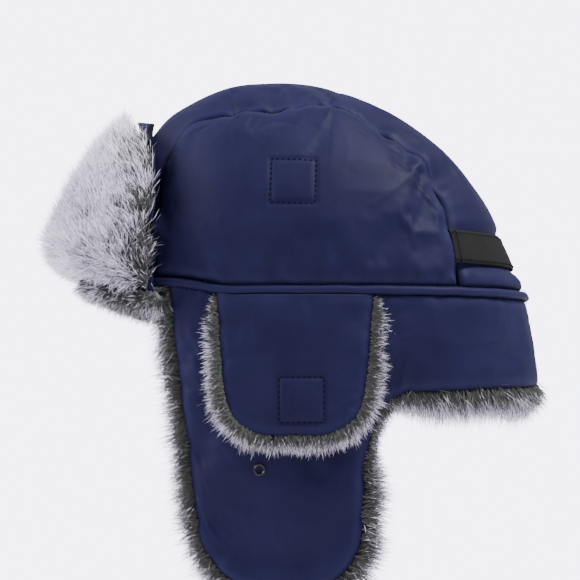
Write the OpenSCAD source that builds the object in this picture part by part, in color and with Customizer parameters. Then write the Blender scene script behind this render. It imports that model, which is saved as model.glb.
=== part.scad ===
// Padded trapper hat: a quilted crown, a fur brim that folds down over the forehead, ear flaps that
// fold up, an ear hatch on each flap that magnets hold open, and a chin strap with a side-release buckle.
// Axes: +Z up, the hat faces -Y, and +X is the wearer's left. The origin is the middle of the head
// opening, level with the seam under the head band.

/* [Crown] */
// Half of the crown's width at the band
crown_half_width = 100; // [92:1:106]
// Length from the apex to the crown's front
crown_front = 99; // [92:1:104]
// Length from the apex to the crown's back
crown_back = 159.6; // [150:0.2:168]
// Height of the crown above the band seam
crown_height = 130; // [122:1:138]
// How far the apex lies ahead of the ear-to-ear line
apex_forward = 30; // [20:1:36]
// Height of the band between its two seams
band_height = 5.2; // [4:0.1:7]

/* [Layers] */
// Thickness of the outer cloth
cloth = 1.2; // [0.8:0.1:1.5]
// Thickness of the padding
padding = 5.6; // [4:0.1:6]
// Thickness of the fur lining
fur = 10; // [7:0.5:12]
// How far the lining stands out past the cloth's edge
fur_edge = 5; // [3:0.5:6]
// Gap left between neighbouring layers
layer_gap = 0.3; // [0.2:0.05:0.5]
// Room between the cloth and the padding, where the magnets lie
pocket = 2.8; // [2.6:0.1:3.4]

/* [Curtain and ear flaps] */
// Drop of the nape curtain at the back
nape_drop = 47; // [40:1:55]
// Drop of the ear flaps
flap_drop = 166; // [150:1:175]
// Where a flap's front edge starts, ahead of the ears
flap_front = 80; // [74:1:82]
// Where a flap meets the nape curtain, behind the ears
flap_split = 50; // [44:1:56]

/* [Ear hatches] */
// Drop of a hatch's cloth
hatch_drop = 80; // [70:1:86]
// Half of a hatch's width at the seam
hatch_half_width = 45.5; // [38:0.5:46]
// Diameter of the magnets that hold a hatch open
magnet_d = 16; // [12:1:20]
// Thickness of the magnets
magnet_t = 1.6; // [1:0.1:1.8]

/* [Brim] */
// Height of the brim's top above the band seam
brim_top = 108; // [95:1:114]
// How far round the side the brim reaches, ahead of the ears
brim_side = 91; // [90:1:100]
// Thickness of the brim's fur
brim_fur_t = 22; // [14:1:24]

/* [Hardware] */
// Diameter of the snap stud's base ring
snap_d = 11.6; // [10:0.2:13]
// Diameter of the snap stud's head
stud_d = 6.8; // [5:0.2:8]
// Width of the chin webbing
webbing_w = 20; // [15:1:25]
// Thickness of the chin webbing
webbing_t = 1.6; // [1.2:0.1:2]
// Free length of each chin strap
strap_drop = 46; // [38:1:60]

/* [Hidden] */
$fn = 64;

// shape of the plan and of the profiles, as superellipse powers
plan_n = 2.4;
side_n = 2.3;
back_rise_n = 1.35;
// steps round the head and up the crown
turns = 40;
rises = 9;

navy = [0.14, 0.16, 0.32];
fur_grey = [0.72, 0.72, 0.78];
wadding_white = [0.93, 0.93, 0.9];
black = [0.08, 0.08, 0.09];
steel = [0.62, 0.63, 0.65];

// layers, as insets from the outer cloth's face
cloth_in = cloth;
pad_out = cloth + pocket;
pad_in = pad_out + padding;
lining_out = pad_in + layer_gap;
lining_in = lining_out + fur;
seam_z = band_height + 0.4;

function power(a, b) = pow(max(a, 0), b);
function signed(a, b) = sign(a) * power(abs(a), b);
function mix(a, b, t) = a + (b - a) * t;

// the crown: level sections whose half-width, front and back follow the height
function level(z, d) = min(z / (crown_height - d), 1);
function half_width(z, d) =
    (crown_half_width - d) * power(1 - power(level(z, d), side_n), 1 / side_n);
function centre_y(z, d) = -apex_forward * power(level(z, d), 2);
function front_y(z, d) = -apex_forward - (crown_front - d) * power(1 - power(level(z, d), 2), 0.5);
function back_y(z, d) =
    -apex_forward + (crown_back - d) * power(1 - power(level(z, d), back_rise_n), 1 / plan_n);
function reach(z, d, behind) =
    behind ? back_y(z, d) - centre_y(z, d) : centre_y(z, d) - front_y(z, d);
function crown_at(turn, z, d) = [
    half_width(z, d) * signed(cos(turn), 2 / plan_n),
    centre_y(z, d) + reach(z, d, sin(turn) > 0) * signed(sin(turn), 2 / plan_n),
    z
];
// the turn at which a level section passes a given y
function turn_at(y, z, d) =
    let (c = centre_y(z, d), share = min(abs(y - c) / reach(z, d, y > c), 1))
    sign(y - c) * asin(power(share, plan_n / 2));

// the seam between the side panels and the top panel
seam_top = 114;
seam_middle = -10;
function seam_front(z) = seam_middle - 80 * power(1 - power(z / seam_top, 6), 0.4);
function seam_back(z) = seam_middle + 95 * power(1 - power(z / seam_top, 2.6), 0.5);
panel_top = 0.98 * seam_top;
panel_gap = 0.7;

// the curtain: the same plan carried down, with a flare at the back
curtain_lean = 0.05;
nape_flare = 0.16;
function curtain_x(y, z, d) =
    (crown_half_width + curtain_lean * z - d)
    * power(1 - power(abs(y) / (curtain_len(z, y > 0) - d), plan_n), 1 / plan_n);
function curtain_len(z, behind) =
    crown_front + apex_forward - (behind ? nape_flare * z : 0);
function curtain_at(y, z, d) = [curtain_x(y, z, d), y, z];
function nape_at(turn, z, d) = [
    (crown_half_width + curtain_lean * z - d) * signed(cos(turn), 2 / plan_n),
    (curtain_len(z, true) - d) * power(sin(turn), 2 / plan_n),
    z
];

// one closed solid between two grids of points; rows go up, columns go forward to back on the left
function quad(a, b, c, d) = [[a, c, b], [a, d, c]];
module skin(outer, inner, wrap = false, capped = false) {
    rows = len(outer);
    cols = len(outer[0]);
    steps = wrap ? cols : cols - 1;
    in0 = rows * cols;
    last = (rows - 1) * cols;
    edge = cols - 1;
    function at(i, j) = i * cols + j % cols;
    faces = concat(
        [for (i = [0:rows - 2], j = [0:steps - 1])
            each quad(at(i, j), at(i, j + 1), at(i + 1, j + 1), at(i + 1, j))],
        [for (i = [0:rows - 2], j = [0:steps - 1])
            each quad(in0 + at(i + 1, j), in0 + at(i + 1, j + 1), in0 + at(i, j + 1), in0 + at(i, j))],
        [for (j = [0:steps - 1]) each quad(in0 + at(0, j), in0 + at(0, j + 1), at(0, j + 1), at(0, j))],
        capped
            ? [[for (j = [cols - 1:-1:0]) last + j], [for (j = [0:cols - 1]) in0 + last + j]]
            : [for (j = [0:steps - 1]) each quad(
                last + at(0, j), last + at(0, j + 1), in0 + last + at(0, j + 1), in0 + last + at(0, j))],
        wrap ? [] : [for (i = [0:rows - 2])
            each quad(at(i, 0), at(i + 1, 0), in0 + at(i + 1, 0), in0 + at(i, 0))],
        wrap ? [] : [for (i = [0:rows - 2])
            each quad(in0 + at(i, edge), in0 + at(i + 1, edge), at(i + 1, edge), at(i, edge))]
    );
    polyhedron(concat([for (r = outer) each r], [for (r = inner) each r]), faces);
}

// ---- crown ----
function dome_rings(d, low) = [
    for (i = [0:rises])
    let (start = asin(low / (crown_height - d)), z = (crown_height - d) * sin(mix(start, 87, i / rises)))
    [for (j = [0:turns - 1]) crown_at(360 * j / turns, z, d)]
];
module dome(d_out, d_in, low) {
    skin(dome_rings(d_out, low), dome_rings(d_in, low), wrap = true, capped = true);
}
module crown_wadding() {
    color(wadding_white) dome(pad_out, pad_in, 0.4);
}
module crown_lining() {
    color(fur_grey) dome(lining_out, lining_in, 0.4);
}

side_cols = 14;
function side_grid(d) = [
    for (i = [0:rises])
    let (z = seam_z + (panel_top - seam_z) * sin(90 * i / rises))
    [for (j = [0:side_cols]) crown_at(mix(turn_at(seam_front(z), z, d), turn_at(seam_back(z), z, d),
        j / side_cols), z, d)]
];
module crown_side() {
    color(navy) skin(side_grid(0), side_grid(cloth_in));
}

// a point of the crown in a given direction from the middle of its base, found by halving
function outside(p, d) =
    p.z >= crown_height - d ? true
    : power(abs(p.x) / half_width(p.z, d), plan_n)
        + power(abs(p.y - centre_y(p.z, d)) / reach(p.z, d, p.y > centre_y(p.z, d)), plan_n) > 1;
function along(dir, r) = [dir.x * r, seam_middle + dir.y * r, dir.z * r];
function cast(dir, d, low = 20, high = 200, n = 18) =
    n == 0 ? along(dir, (low + high) / 2)
    : let (mid = (low + high) / 2)
        outside(along(dir, mid), d) ? cast(dir, d, low, mid, n - 1) : cast(dir, d, mid, high, n - 1);

// the top panel's edge, up the front seam, along the top and down the back seam
top_rows = 22;
top_cols = 8;
function edge_point(s, d) =
    s < 0.32 ? let (z = mix(seam_z, panel_top, sin(90 * s / 0.32)))
        crown_at(turn_at(seam_front(z) - panel_gap, z, d), z, d)
    : s > 0.68 ? let (z = mix(seam_z, panel_top, sin(90 * (1 - s) / 0.32)))
        crown_at(turn_at(seam_back(z) + panel_gap, z, d), z, d)
    : let (y = mix(seam_front(panel_top) - panel_gap, seam_back(panel_top) + panel_gap, (s - 0.32) / 0.36))
        crown_at(turn_at(y, panel_top + panel_gap, d), panel_top + panel_gap, d);
function rib(s, d) =
    let (e = edge_point(s, d), run = norm([e.y - seam_middle, e.z]), side = atan2(e.x, run))
    [for (j = [0:top_cols])
        let (b = side * (1 - 2 * j / top_cols),
            dir = [sin(b), cos(b) * (e.y - seam_middle) / run, cos(b) * e.z / run])
        cast(dir, d)];
module crown_top_panel() {
    color(navy) skin([for (i = [0:top_rows]) rib(i / top_rows, 0)],
        [for (i = [0:top_rows]) rib(i / top_rows, cloth_in)]);
}

band_out = -0.4;
band_in = 3;
function band_ring(z, d) = [for (j = [0:turns - 1]) crown_at(360 * j / turns, z, d)];
module head_band() {
    color(navy) skin([band_ring(0.2, band_out), band_ring(band_height, band_out)],
        [band_ring(0.2, band_in), band_ring(band_height, band_in)], wrap = true);
}

// the elastic that holds a goggle strap, round the back of the crown
elastic_low = 20.5;
elastic_high = 40;
elastic_out = -1.7;
elastic_in = -0.35;
elastic_cols = 20;
function elastic_grid(d) = [
    for (i = [0:3])
    let (z = mix(elastic_low, elastic_high, i / 3), start = turn_at(seam_back(z) - 1, z, d))
    [for (j = [0:elastic_cols]) crown_at(mix(start, 180 - start, j / elastic_cols), z, d)]
];
module goggle_elastic() {
    color(black) skin(elastic_grid(elastic_out), elastic_grid(elastic_in));
}

// the disc magnets behind the stitched squares on the crown
crown_magnet_y = -9.6;
crown_magnet_z = 63.6;
module crown_magnet() {
    d = cloth_in + (pocket - 0.2) / 2;
    step = 4;
    p = crown_at(turn_at(crown_magnet_y, crown_magnet_z, d), crown_magnet_z, d);
    slope = (half_width(crown_magnet_z + step, d) - half_width(crown_magnet_z - step, d)) / (2 * step);
    color(steel) translate(p) rotate([0, 90 + atan(slope), 0])
        cylinder(d = magnet_d, h = magnet_t, center = true);
}

// ---- nape curtain ----
nape_cols = 22;
nape_rows = 4;
side_drop = 53;
function nape_bottom(y) = -mix(side_drop, nape_drop, (y - flap_split) / (curtain_len(0, true) - flap_split));
function nape_grid(d, extra) = [
    for (i = [0:nape_rows])
    let (start = asin(power((flap_split + 0.6) / (curtain_len(0, true) - d), plan_n / 2)))
    [for (j = [0:nape_cols])
        let (turn = mix(start, 180 - start, j / nape_cols),
            low = nape_bottom(nape_at(turn, 0, 0).y) - extra)
        nape_at(turn, mix(low, -0.3, i / nape_rows), d)]
];
module nape_layer(d_out, d_in, extra) {
    skin(nape_grid(d_out, extra), nape_grid(d_in, extra));
}
module nape_shell() {
    color(navy) nape_layer(0, cloth_in, 0);
}
module nape_wadding() {
    color(wadding_white) nape_layer(pad_out, pad_in, -1);
}
module nape_lining() {
    color(fur_grey) nape_layer(lining_out, lining_in, fur_edge);
}

// ---- ear flaps ----
round_start = 128;
function flap_front_y(z) = -flap_front - 0.137 * z;
function flap_back_y(z) =
    26 + (flap_split - 26 + 2) / (1 + power((-z - 50) / 14, 1.6)) - (z > -50 ? 2 : 0);
function end_round(z) = power(1 - power((-z - round_start) / (flap_drop - round_start + 1), 2.2), 1 / 2.2);
flap_rows = 15;
flap_cols = 10;
function flap_row(z, d, extra) =
    let (front = flap_front_y(z), back = min(flap_back_y(z), flap_split), mid = (front + back) / 2,
        half = (back - front) / 2 * (z < -round_start ? end_round(z) : 1),
        back_extra = extra * min(max((-z - 50) / 15, 0), 1))
    [for (j = [0:flap_cols])
        curtain_at(mix(mid - half - extra, mid + half + back_extra, j / flap_cols),
            z * (1 + extra / flap_drop), d)];
function flap_grid(d, extra) = [
    for (i = [0:flap_rows])
    let (z = -mix(flap_drop, 0.5, 1 - cos(90 * i / flap_rows)))
    flap_row(z, d, extra)
];
module flap_layer(d_out, d_in, extra) {
    skin(flap_grid(d_out, extra), flap_grid(d_in, extra));
}
module ear_flap_shell() {
    color(navy) flap_layer(0, cloth_in, 0);
}
module ear_flap_wadding() {
    color(wadding_white) flap_layer(pad_out, pad_in, -1.5);
}
module ear_flap_lining() {
    color(fur_grey) flap_layer(lining_out, lining_in, fur_edge);
}

// the round sound port that the hatch covers
port_y = -8;
port_z = -36;
port_r = 17;
port_rim = 3;
port_cols = 24;
function port_ring(r, d) = [
    for (j = [0:port_cols - 1])
    let (a = 360 * j / port_cols)
    curtain_at(port_y + r * cos(a), port_z + r * sin(a), d)
];
module port_layer(r_in, r_out, d_out, d_in) {
    skin([port_ring(r_out, d_out), port_ring(r_in, d_out)],
        [port_ring(r_out, d_in), port_ring(r_in, d_in)], wrap = true);
}
module ear_port_mesh() {
    color(black) port_layer(0.4, port_r, -0.5, -0.15);
}
module ear_port_binding() {
    color(navy) port_layer(port_r + 0.1, port_r + port_rim, -0.7, -0.15);
}

// the press stud that takes a face mask's socket
stud_y = -28.5;
stud_z = -98;
ring_h = 0.9;
stud_h = 2.8;
post_d = 3;
stud_x = curtain_x(stud_y, stud_z, 0) + 0.7;
module mask_stud() {
    color(black) translate([stud_x, stud_y, stud_z]) rotate([0, 90, 0]) {
        difference() {
            union() {
                cylinder(d = snap_d, h = ring_h);
                cylinder(d = stud_d, h = stud_h);
            }
            translate([0, 0, stud_h - 1.6]) cylinder(d = stud_d - 2.4, h = 2);
        }
        translate([0, 0, -cloth - 1.6]) cylinder(d = post_d, h = cloth + 1.8);
    }
}
module stud_washer() {
    color(steel) translate([stud_x - cloth - 1.65, stud_y, stud_z]) rotate([0, 90, 0])
        difference() {
            cylinder(d = snap_d - 2, h = 0.5, center = true);
            cylinder(d = post_d + 0.1, h = 1, center = true);
        }
}

// ---- ear hatches ----
hatch_y = -8.5;
hatch_rows = 11;
hatch_cols = 8;
hatch_root = 1.6;
hatch_full = 7;
// how far the hatch's outer face stands off the flap: flat at the seam, lifted by the fur below
function hatch_off(z) = hatch_root + hatch_full * min(power(-z / 60, 1.1), 1.1);
function lining_off(z) = 0.9 + 0.5 * (hatch_off(z) - 0.9);
function hatch_half(z) =
    (hatch_half_width - 0.085 * -z) * power(1 - power(-z / (hatch_drop + 0.5), 8), 0.4);
function hatch_grid(extra, top, face) = [
    for (i = [0:hatch_rows])
    let (z = -mix(hatch_drop, top, 1 - cos(90 * i / hatch_rows)), low = z - extra * -z / hatch_drop,
        half = hatch_half(z) + extra * min(-z / 12, 1), d = face == 0 ? 0.9 : face == 1 ? lining_off(z)
            : face == 2 ? max(lining_off(z) + layer_gap, hatch_off(z) - magnet_t) : hatch_off(z))
    [for (j = [0:hatch_cols]) curtain_at(hatch_y + half * (2 * j / hatch_cols - 1), low, -d)]
];
module hatch_shell() {
    color(navy) skin(hatch_grid(0, 1, 3), hatch_grid(0, 1, 2));
}
module hatch_lining() {
    color(fur_grey) skin(hatch_grid(fur_edge, 6, 1), hatch_grid(fur_edge, 6, 0));
}
hatch_magnet_y = -5;
hatch_magnet_z = -58.8;
module hatch_magnet() {
    step = 4;
    inner = function (z) lining_off(z) + (hatch_off(z) - magnet_t - lining_off(z)) / 2;
    x = function (z) curtain_x(hatch_magnet_y, z, -inner(z));
    slope = (x(hatch_magnet_z + step) - x(hatch_magnet_z - step)) / (2 * step);
    color(steel) translate([x(hatch_magnet_z), hatch_magnet_y, hatch_magnet_z])
        rotate([0, 90 + atan(slope), 0]) cylinder(d = magnet_d, h = magnet_t, center = true);
}

// ---- brim ----
// the brim wraps the crown's front, folded up, and stands off it more towards its top
brim_cols = 20;
brim_rows = 7;
brim_gap = 1.5;
brim_stand = 4;
brim_thin_top = 0.55;
brim_wadding_t = 3.3;
brim_pad_gap = 0.7;
brim_corner = 22;
brim_low_side = 1;
brim_low_cloth = 8;
brim_low_fur = 14;
brim_low_front = 24;
function brim_turn(share, z, d) = let (t = turn_at(-brim_side, z, d)) mix(-180 - t, t, share);
// base is the offset off the crown at the seam; thick is added whole low in the middle, thinner elsewhere
function brim_grid(base, thick, low_front, edge) = [
    for (i = [0:brim_rows])
    [for (j = [0:brim_cols])
        let (bow = sin(180 * j / brim_cols), rise = i / brim_rows,
            low = mix(brim_low_side, low_front, bow) - edge,
            high = brim_top - brim_corner * (1 - power(bow, 0.5)) + edge,
            z = mix(low, high, rise),
            off = base + brim_stand * z / brim_top + thick * mix(0.5, 1, bow) * mix(1, brim_thin_top, rise))
        crown_at(brim_turn(j / brim_cols, z, -off), z, -off)]
];
brim_pad_off = brim_gap + cloth + layer_gap + brim_pad_gap;
brim_fur_gap = 1;
brim_fur_off = brim_pad_off + brim_wadding_t + brim_fur_gap;
module brim_backing() {
    color(navy) skin(brim_grid(brim_gap + cloth, 0, brim_low_cloth, 0),
        brim_grid(brim_gap, 0, brim_low_cloth, 0));
}
module brim_wadding() {
    color(wadding_white) skin(brim_grid(brim_pad_off + brim_wadding_t, 0, brim_low_cloth, -1),
        brim_grid(brim_pad_off, 0, brim_low_cloth, -1));
}
module brim_fur() {
    color(fur_grey) skin(brim_grid(brim_fur_off, brim_fur_t, brim_low_front, 2),
        brim_grid(brim_fur_off, 0, brim_low_fur, 2));
}

// ---- chin straps ----
strap_y = -18;
pivot_z = -flap_drop - 7.5;
strap_x = crown_half_width - curtain_lean * flap_drop - 8;
strap_top = pivot_z - 0.5;
strap_end = strap_top - strap_drop;
module chin_webbing() {
    color(black) translate([strap_x - webbing_t / 2, strap_y - webbing_w / 2, strap_end])
        cube([webbing_t, webbing_w, strap_drop]);
}
buckle_w = webbing_w + 9;
buckle_t = 8.4;
socket_l = 25;
prong_t = 2.8;
bar_gap = 3;
bar_h = 2;
wall = 2;
// a flat block with rounded edges, long along Z
module pill(w, t, l) {
    translate([-t / 2, -w / 2 + t / 2, 0]) cube([t, w - t, l]);
    for (side = [-1, 1])
        translate([0, side * (w / 2 - t / 2), 0]) cylinder(d = t, h = l);
}
module buckle_socket() {
    color(black) translate([strap_x, strap_y, strap_end - layer_gap - socket_l - bar_gap - bar_h]) {
        difference() {
            pill(buckle_w, buckle_t, socket_l);
            translate([-(prong_t + 0.8) / 2, -buckle_w / 2 + wall + 1, -1])
                cube([prong_t + 0.8, buckle_w - 2 * wall - 2, socket_l - 2]);
            for (side = [-1, 1])
                translate([-buckle_t, side * (buckle_w / 2) - 3.4, 7]) cube([2 * buckle_t, 6.8, 10]);
        }
        // the bar that the webbing is sewn round
        for (side = [-1, 1])
            translate([-buckle_t / 4, side * (buckle_w / 2 - 3.5) - 1.5, socket_l])
                cube([buckle_t / 2, 3, bar_gap]);
        translate([-buckle_t / 4, -buckle_w / 2 + wall, socket_l + bar_gap])
            cube([buckle_t / 2, buckle_w - 2 * wall, bar_h]);
    }
}
plug_l = 8;
prong_l = 19;
prong_w = 2.4;
module buckle_plug() {
    color(black) translate([strap_x, strap_y, strap_end - layer_gap - plug_l]) {
        pill(buckle_w, buckle_t - 2, plug_l);
        for (side = [-1, 1]) {
            translate([-prong_t / 2, side * (buckle_w / 2 - 5.5) - prong_w / 2, -prong_l])
                cube([prong_t, prong_w, prong_l + 0.1]);
            translate([0, side * (buckle_w / 2 - 5), -prong_l + 3]) rotate([0, 90, 0])
                cylinder(d = 5, h = prong_t, center = true);
        }
        translate([-prong_t / 2, -1.5, -prong_l + 4]) cube([prong_t, 3, prong_l - 3.9]);
    }
}
slider_l = 10;
slider_t = 5;
slider_gap = 0.3;
slider_z = strap_top - 8;
module strap_slider() {
    slot = [webbing_t + 2 * slider_gap, webbing_w + 2 * slider_gap, slider_l + 2];
    color(black) translate([strap_x, strap_y, slider_z - slider_l]) difference() {
        pill(webbing_w + 7, slider_t, slider_l);
        translate([-slot.x / 2, -slot.y / 2, -1]) cube(slot);
    }
}

module on_right() {
    mirror([1, 0, 0]) children();
}

crown_side();  // crown_side_left
on_right() crown_side();  // crown_side_right
crown_top_panel();
crown_wadding();
crown_lining();
head_band();
goggle_elastic();
crown_magnet();  // crown_magnet_left
on_right() crown_magnet();  // crown_magnet_right
nape_shell();
nape_wadding();
nape_lining();
brim_backing();
brim_wadding();
brim_fur();
ear_flap_shell();  // ear_flap_shell_left
on_right() ear_flap_shell();  // ear_flap_shell_right
ear_flap_wadding();  // ear_flap_wadding_left
on_right() ear_flap_wadding();  // ear_flap_wadding_right
ear_flap_lining();  // ear_flap_lining_left
on_right() ear_flap_lining();  // ear_flap_lining_right
ear_port_mesh();  // ear_port_mesh_left
on_right() ear_port_mesh();  // ear_port_mesh_right
ear_port_binding();  // ear_port_binding_left
on_right() ear_port_binding();  // ear_port_binding_right
mask_stud();  // mask_stud_left
on_right() mask_stud();  // mask_stud_right
stud_washer();  // stud_washer_left
on_right() stud_washer();  // stud_washer_right
hatch_shell();  // hatch_shell_left
on_right() hatch_shell();  // hatch_shell_right
hatch_lining();  // hatch_lining_left
on_right() hatch_lining();  // hatch_lining_right
hatch_magnet();  // hatch_magnet_left
on_right() hatch_magnet();  // hatch_magnet_right
chin_webbing();  // chin_webbing_left
on_right() chin_webbing();  // chin_webbing_right
buckle_socket();
on_right() buckle_plug();
strap_slider();
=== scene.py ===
import math

import bpy
import numpy as np
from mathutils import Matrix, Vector
from mathutils.kdtree import KDTree


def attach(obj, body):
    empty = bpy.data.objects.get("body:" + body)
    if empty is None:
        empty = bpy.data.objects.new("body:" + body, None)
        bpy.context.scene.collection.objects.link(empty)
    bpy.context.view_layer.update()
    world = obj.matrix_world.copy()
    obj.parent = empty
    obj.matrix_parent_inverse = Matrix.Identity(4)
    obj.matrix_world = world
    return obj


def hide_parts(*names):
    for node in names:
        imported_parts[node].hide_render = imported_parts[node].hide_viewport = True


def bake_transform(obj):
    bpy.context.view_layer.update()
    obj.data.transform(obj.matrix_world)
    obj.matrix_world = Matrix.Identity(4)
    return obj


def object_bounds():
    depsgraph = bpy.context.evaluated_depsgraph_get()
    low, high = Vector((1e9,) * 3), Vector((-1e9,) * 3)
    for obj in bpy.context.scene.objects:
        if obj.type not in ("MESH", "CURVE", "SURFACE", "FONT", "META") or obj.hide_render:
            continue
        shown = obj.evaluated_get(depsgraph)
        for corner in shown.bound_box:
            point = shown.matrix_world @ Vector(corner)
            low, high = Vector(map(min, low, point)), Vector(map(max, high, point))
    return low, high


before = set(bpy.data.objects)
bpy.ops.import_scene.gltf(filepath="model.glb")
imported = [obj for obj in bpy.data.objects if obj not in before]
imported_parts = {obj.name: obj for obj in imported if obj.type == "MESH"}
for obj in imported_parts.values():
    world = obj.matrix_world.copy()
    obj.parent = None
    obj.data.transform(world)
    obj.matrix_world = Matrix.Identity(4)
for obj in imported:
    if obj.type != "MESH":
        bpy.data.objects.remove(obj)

CAD_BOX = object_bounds()
MM = 0.001

# ---------------------------------------------------------------- sizes, as in the CAD model
HALF_WIDTH = 100.0
FRONT = 99.0
BACK = 159.6
HEIGHT = 130.0
APEX = 30.0
PLAN_N = 2.4
SIDE_N = 2.3
BACK_RISE_N = 1.35
BAND_HEIGHT = 5.2
SEAM_TOP = 114.0
SEAM_MIDDLE = -10.0
LEAN = 0.05
FLARE = 0.16
FLAP_DROP = 166.0
FLAP_FRONT = 80.0
FLAP_SPLIT = 50.0
ROUND_START = 128.0
NAPE_DROP = 47.0
SIDE_DROP = 53.0
HATCH_DROP = 80.0
HATCH_HALF = 45.5
HATCH_Y = -8.5
CLOTH = 1.2            # thickness of the padded panels' shell
PAD_OUT = 4.0
PAD_IN = 9.6
LINING_OUT = 9.9
STUD = (94.73, -28.5, -98.0)
PORT = (-8.0, -36.0, 17.0)     # y, z and radius
CROWN_SQUARE = (-9.6, 63.6)    # y and z of the middle
HATCH_SQUARE = (-5.0, -58.8)
INSET = 1.2            # how far a sewn panel lies under the CAD face before it is puffed
SQUARE = 25.0
ELASTIC = (19.0, 38.4)         # lower and upper edge
CINCH = 3.2            # how far the goggle elastic draws the back in
SIDES = {"left": 1, "right": -1}


def power(a, b):
    return np.power(np.maximum(a, 0.0), b)


def signed(a, b):
    return np.sign(a) * power(np.abs(a), b)


def mix(a, b, t):
    return a + (b - a) * t


def smooth(t):
    t = np.clip(t, 0, 1)
    return t * t * (3 - 2 * t)


def unit(v):
    return v / np.maximum(np.linalg.norm(v, axis=-1, keepdims=True), 1e-9)


def run_of(path):
    """How far each point of a path is from its start, along it."""
    return np.concatenate([[0], np.cumsum(np.linalg.norm(np.diff(path, axis=0), axis=1))])


def sample(s, run, values):
    """Values given at the lengths run, read at the lengths s."""
    return np.stack([np.interp(s, run, values[:, k]) for k in range(values.shape[1])], -1)


def circle(count):
    """A row of angles right round, in radians."""
    return np.linspace(0, 2 * math.pi, count, endpoint=False)[None]


def bell(x, width):
    return np.exp(-((x / width) ** 2))


def tree_of(points):
    tree = KDTree(len(points))
    for k, q in enumerate(points):
        tree.insert(q, k)
    tree.balance()
    return tree


# ---------------------------------------------------------------- the hat's surfaces
def level(z, d):
    return np.clip(z / (HEIGHT - d), 0, 1)


def half_width(z, d):
    return (HALF_WIDTH - d) * power(1 - power(level(z, d), SIDE_N), 1 / SIDE_N)


def centre_y(z, d):
    return -APEX * level(z, d) ** 2


def reach(z, d, behind):
    back = -APEX + (BACK - d) * power(1 - power(level(z, d), BACK_RISE_N), 1 / PLAN_N)
    front = -APEX - (FRONT - d) * power(1 - level(z, d) ** 2, 0.5)
    return np.where(behind, back - centre_y(z, d), centre_y(z, d) - front)


def crown_at(turn, z, d):
    """A point of the crown, d inside its outer face; turn is in radians, 0 at the left ear, -90 degrees in front."""
    turn, z, d = np.broadcast_arrays(turn, z, d)
    c, s = np.cos(turn), np.sin(turn)
    x = half_width(z, d) * signed(c, 2 / PLAN_N)
    y = centre_y(z, d) + reach(z, d, s > 0) * signed(s, 2 / PLAN_N)
    return np.stack([x, y, z + 0.0 * x], -1)


def turn_at(y, z, d):
    c = centre_y(z, d)
    share = np.clip(np.abs(y - c) / reach(z, d, y > c), 0, 1)
    return np.sign(y - c) * np.arcsin(power(share, PLAN_N / 2))


def seam_front(z):
    return SEAM_MIDDLE - 80 * power(1 - power(z / SEAM_TOP, 6), 0.4)


def seam_back(z):
    return SEAM_MIDDLE + 95 * power(1 - power(z / SEAM_TOP, 2.6), 0.5)


def curtain_len(z, behind):
    return FRONT + APEX - np.where(behind, FLARE * z, 0)


def curtain_at(y, z, d):
    """A point of the curtain below the band, at a given y and z, d inside its outer face."""
    y, z, d = np.broadcast_arrays(np.asarray(y, float), np.asarray(z, float), np.asarray(d, float))
    share = np.clip(np.abs(y) / (curtain_len(z, y > 0) - d), 0, 1)
    return np.stack([(HALF_WIDTH + LEAN * z - d) * power(1 - power(share, PLAN_N), 1 / PLAN_N), y, z], -1)


def nape_at(turn, z, d):
    turn, z, d = np.broadcast_arrays(turn, z, d)
    x = (HALF_WIDTH + LEAN * z - d) * signed(np.cos(turn), 2 / PLAN_N)
    y = (curtain_len(z, np.sin(turn) > 0) - d) * signed(np.sin(turn), 2 / PLAN_N)
    return np.stack([x, y, z + 0.0 * x], -1)


# ---------------------------------------------------------------- numbers that look random, but repeat
def hash01(*ints, seed=0):
    h = np.uint32(seed * 2654435761 & 0xFFFFFFFF) + np.zeros(np.broadcast(*ints).shape, np.uint32)
    for k, v in enumerate(ints):
        h = (h ^ (v.astype(np.int64) & 0xFFFFFFFF).astype(np.uint32)) * np.uint32(0x9E3779B1 + 2 * k)
        h ^= h >> np.uint32(15)
    h *= np.uint32(0x85EBCA77)
    h ^= h >> np.uint32(13)
    return h.astype(np.float64) / 2**32


def noise(p, size, seed=0):
    """Smooth noise from -1 to 1 over points in 2-D or 3-D; size, one number or one an axis, is a blob's width."""
    q = np.asarray(p, float) / np.asarray(size, float)
    i = np.floor(q)
    f = q - i
    f = f * f * (3 - 2 * f)
    i = i.astype(np.int64)
    dims = q.shape[-1]
    total = 0.0
    for corner in range(2**dims):
        bits = [(corner >> k) & 1 for k in range(dims)]
        weight = np.prod([f[..., k] if b else 1 - f[..., k] for k, b in enumerate(bits)], axis=0)
        total = total + weight * hash01(*[i[..., k] + b for k, b in enumerate(bits)], seed=seed)
    return 2 * total - 1


def creases(p, size, seed=0):
    """Ridged noise from 0 to 1: sharp crests, as in pulled cloth."""
    return 1 - np.abs(noise(p, size, seed))


# ---------------------------------------------------------------- meshes from grids of points
GUSSET_Z = SEAM_TOP * np.sin(np.linspace(0.0, 1.0, 60) * math.pi / 2) * 0.9999
GUSSET = np.concatenate([np.stack([seam_back(GUSSET_Z), GUSSET_Z], -1),
                         np.stack([seam_front(GUSSET_Z), GUSSET_Z], -1)[::-1]]) - [SEAM_MIDDLE, 0]
GUSSET_TURN, GUSSET_FAR = np.arctan2(GUSSET[:, 1], GUSSET[:, 0]), np.hypot(GUSSET[:, 0], GUSSET[:, 1])


FRONT_LIFT = 5.6


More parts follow.
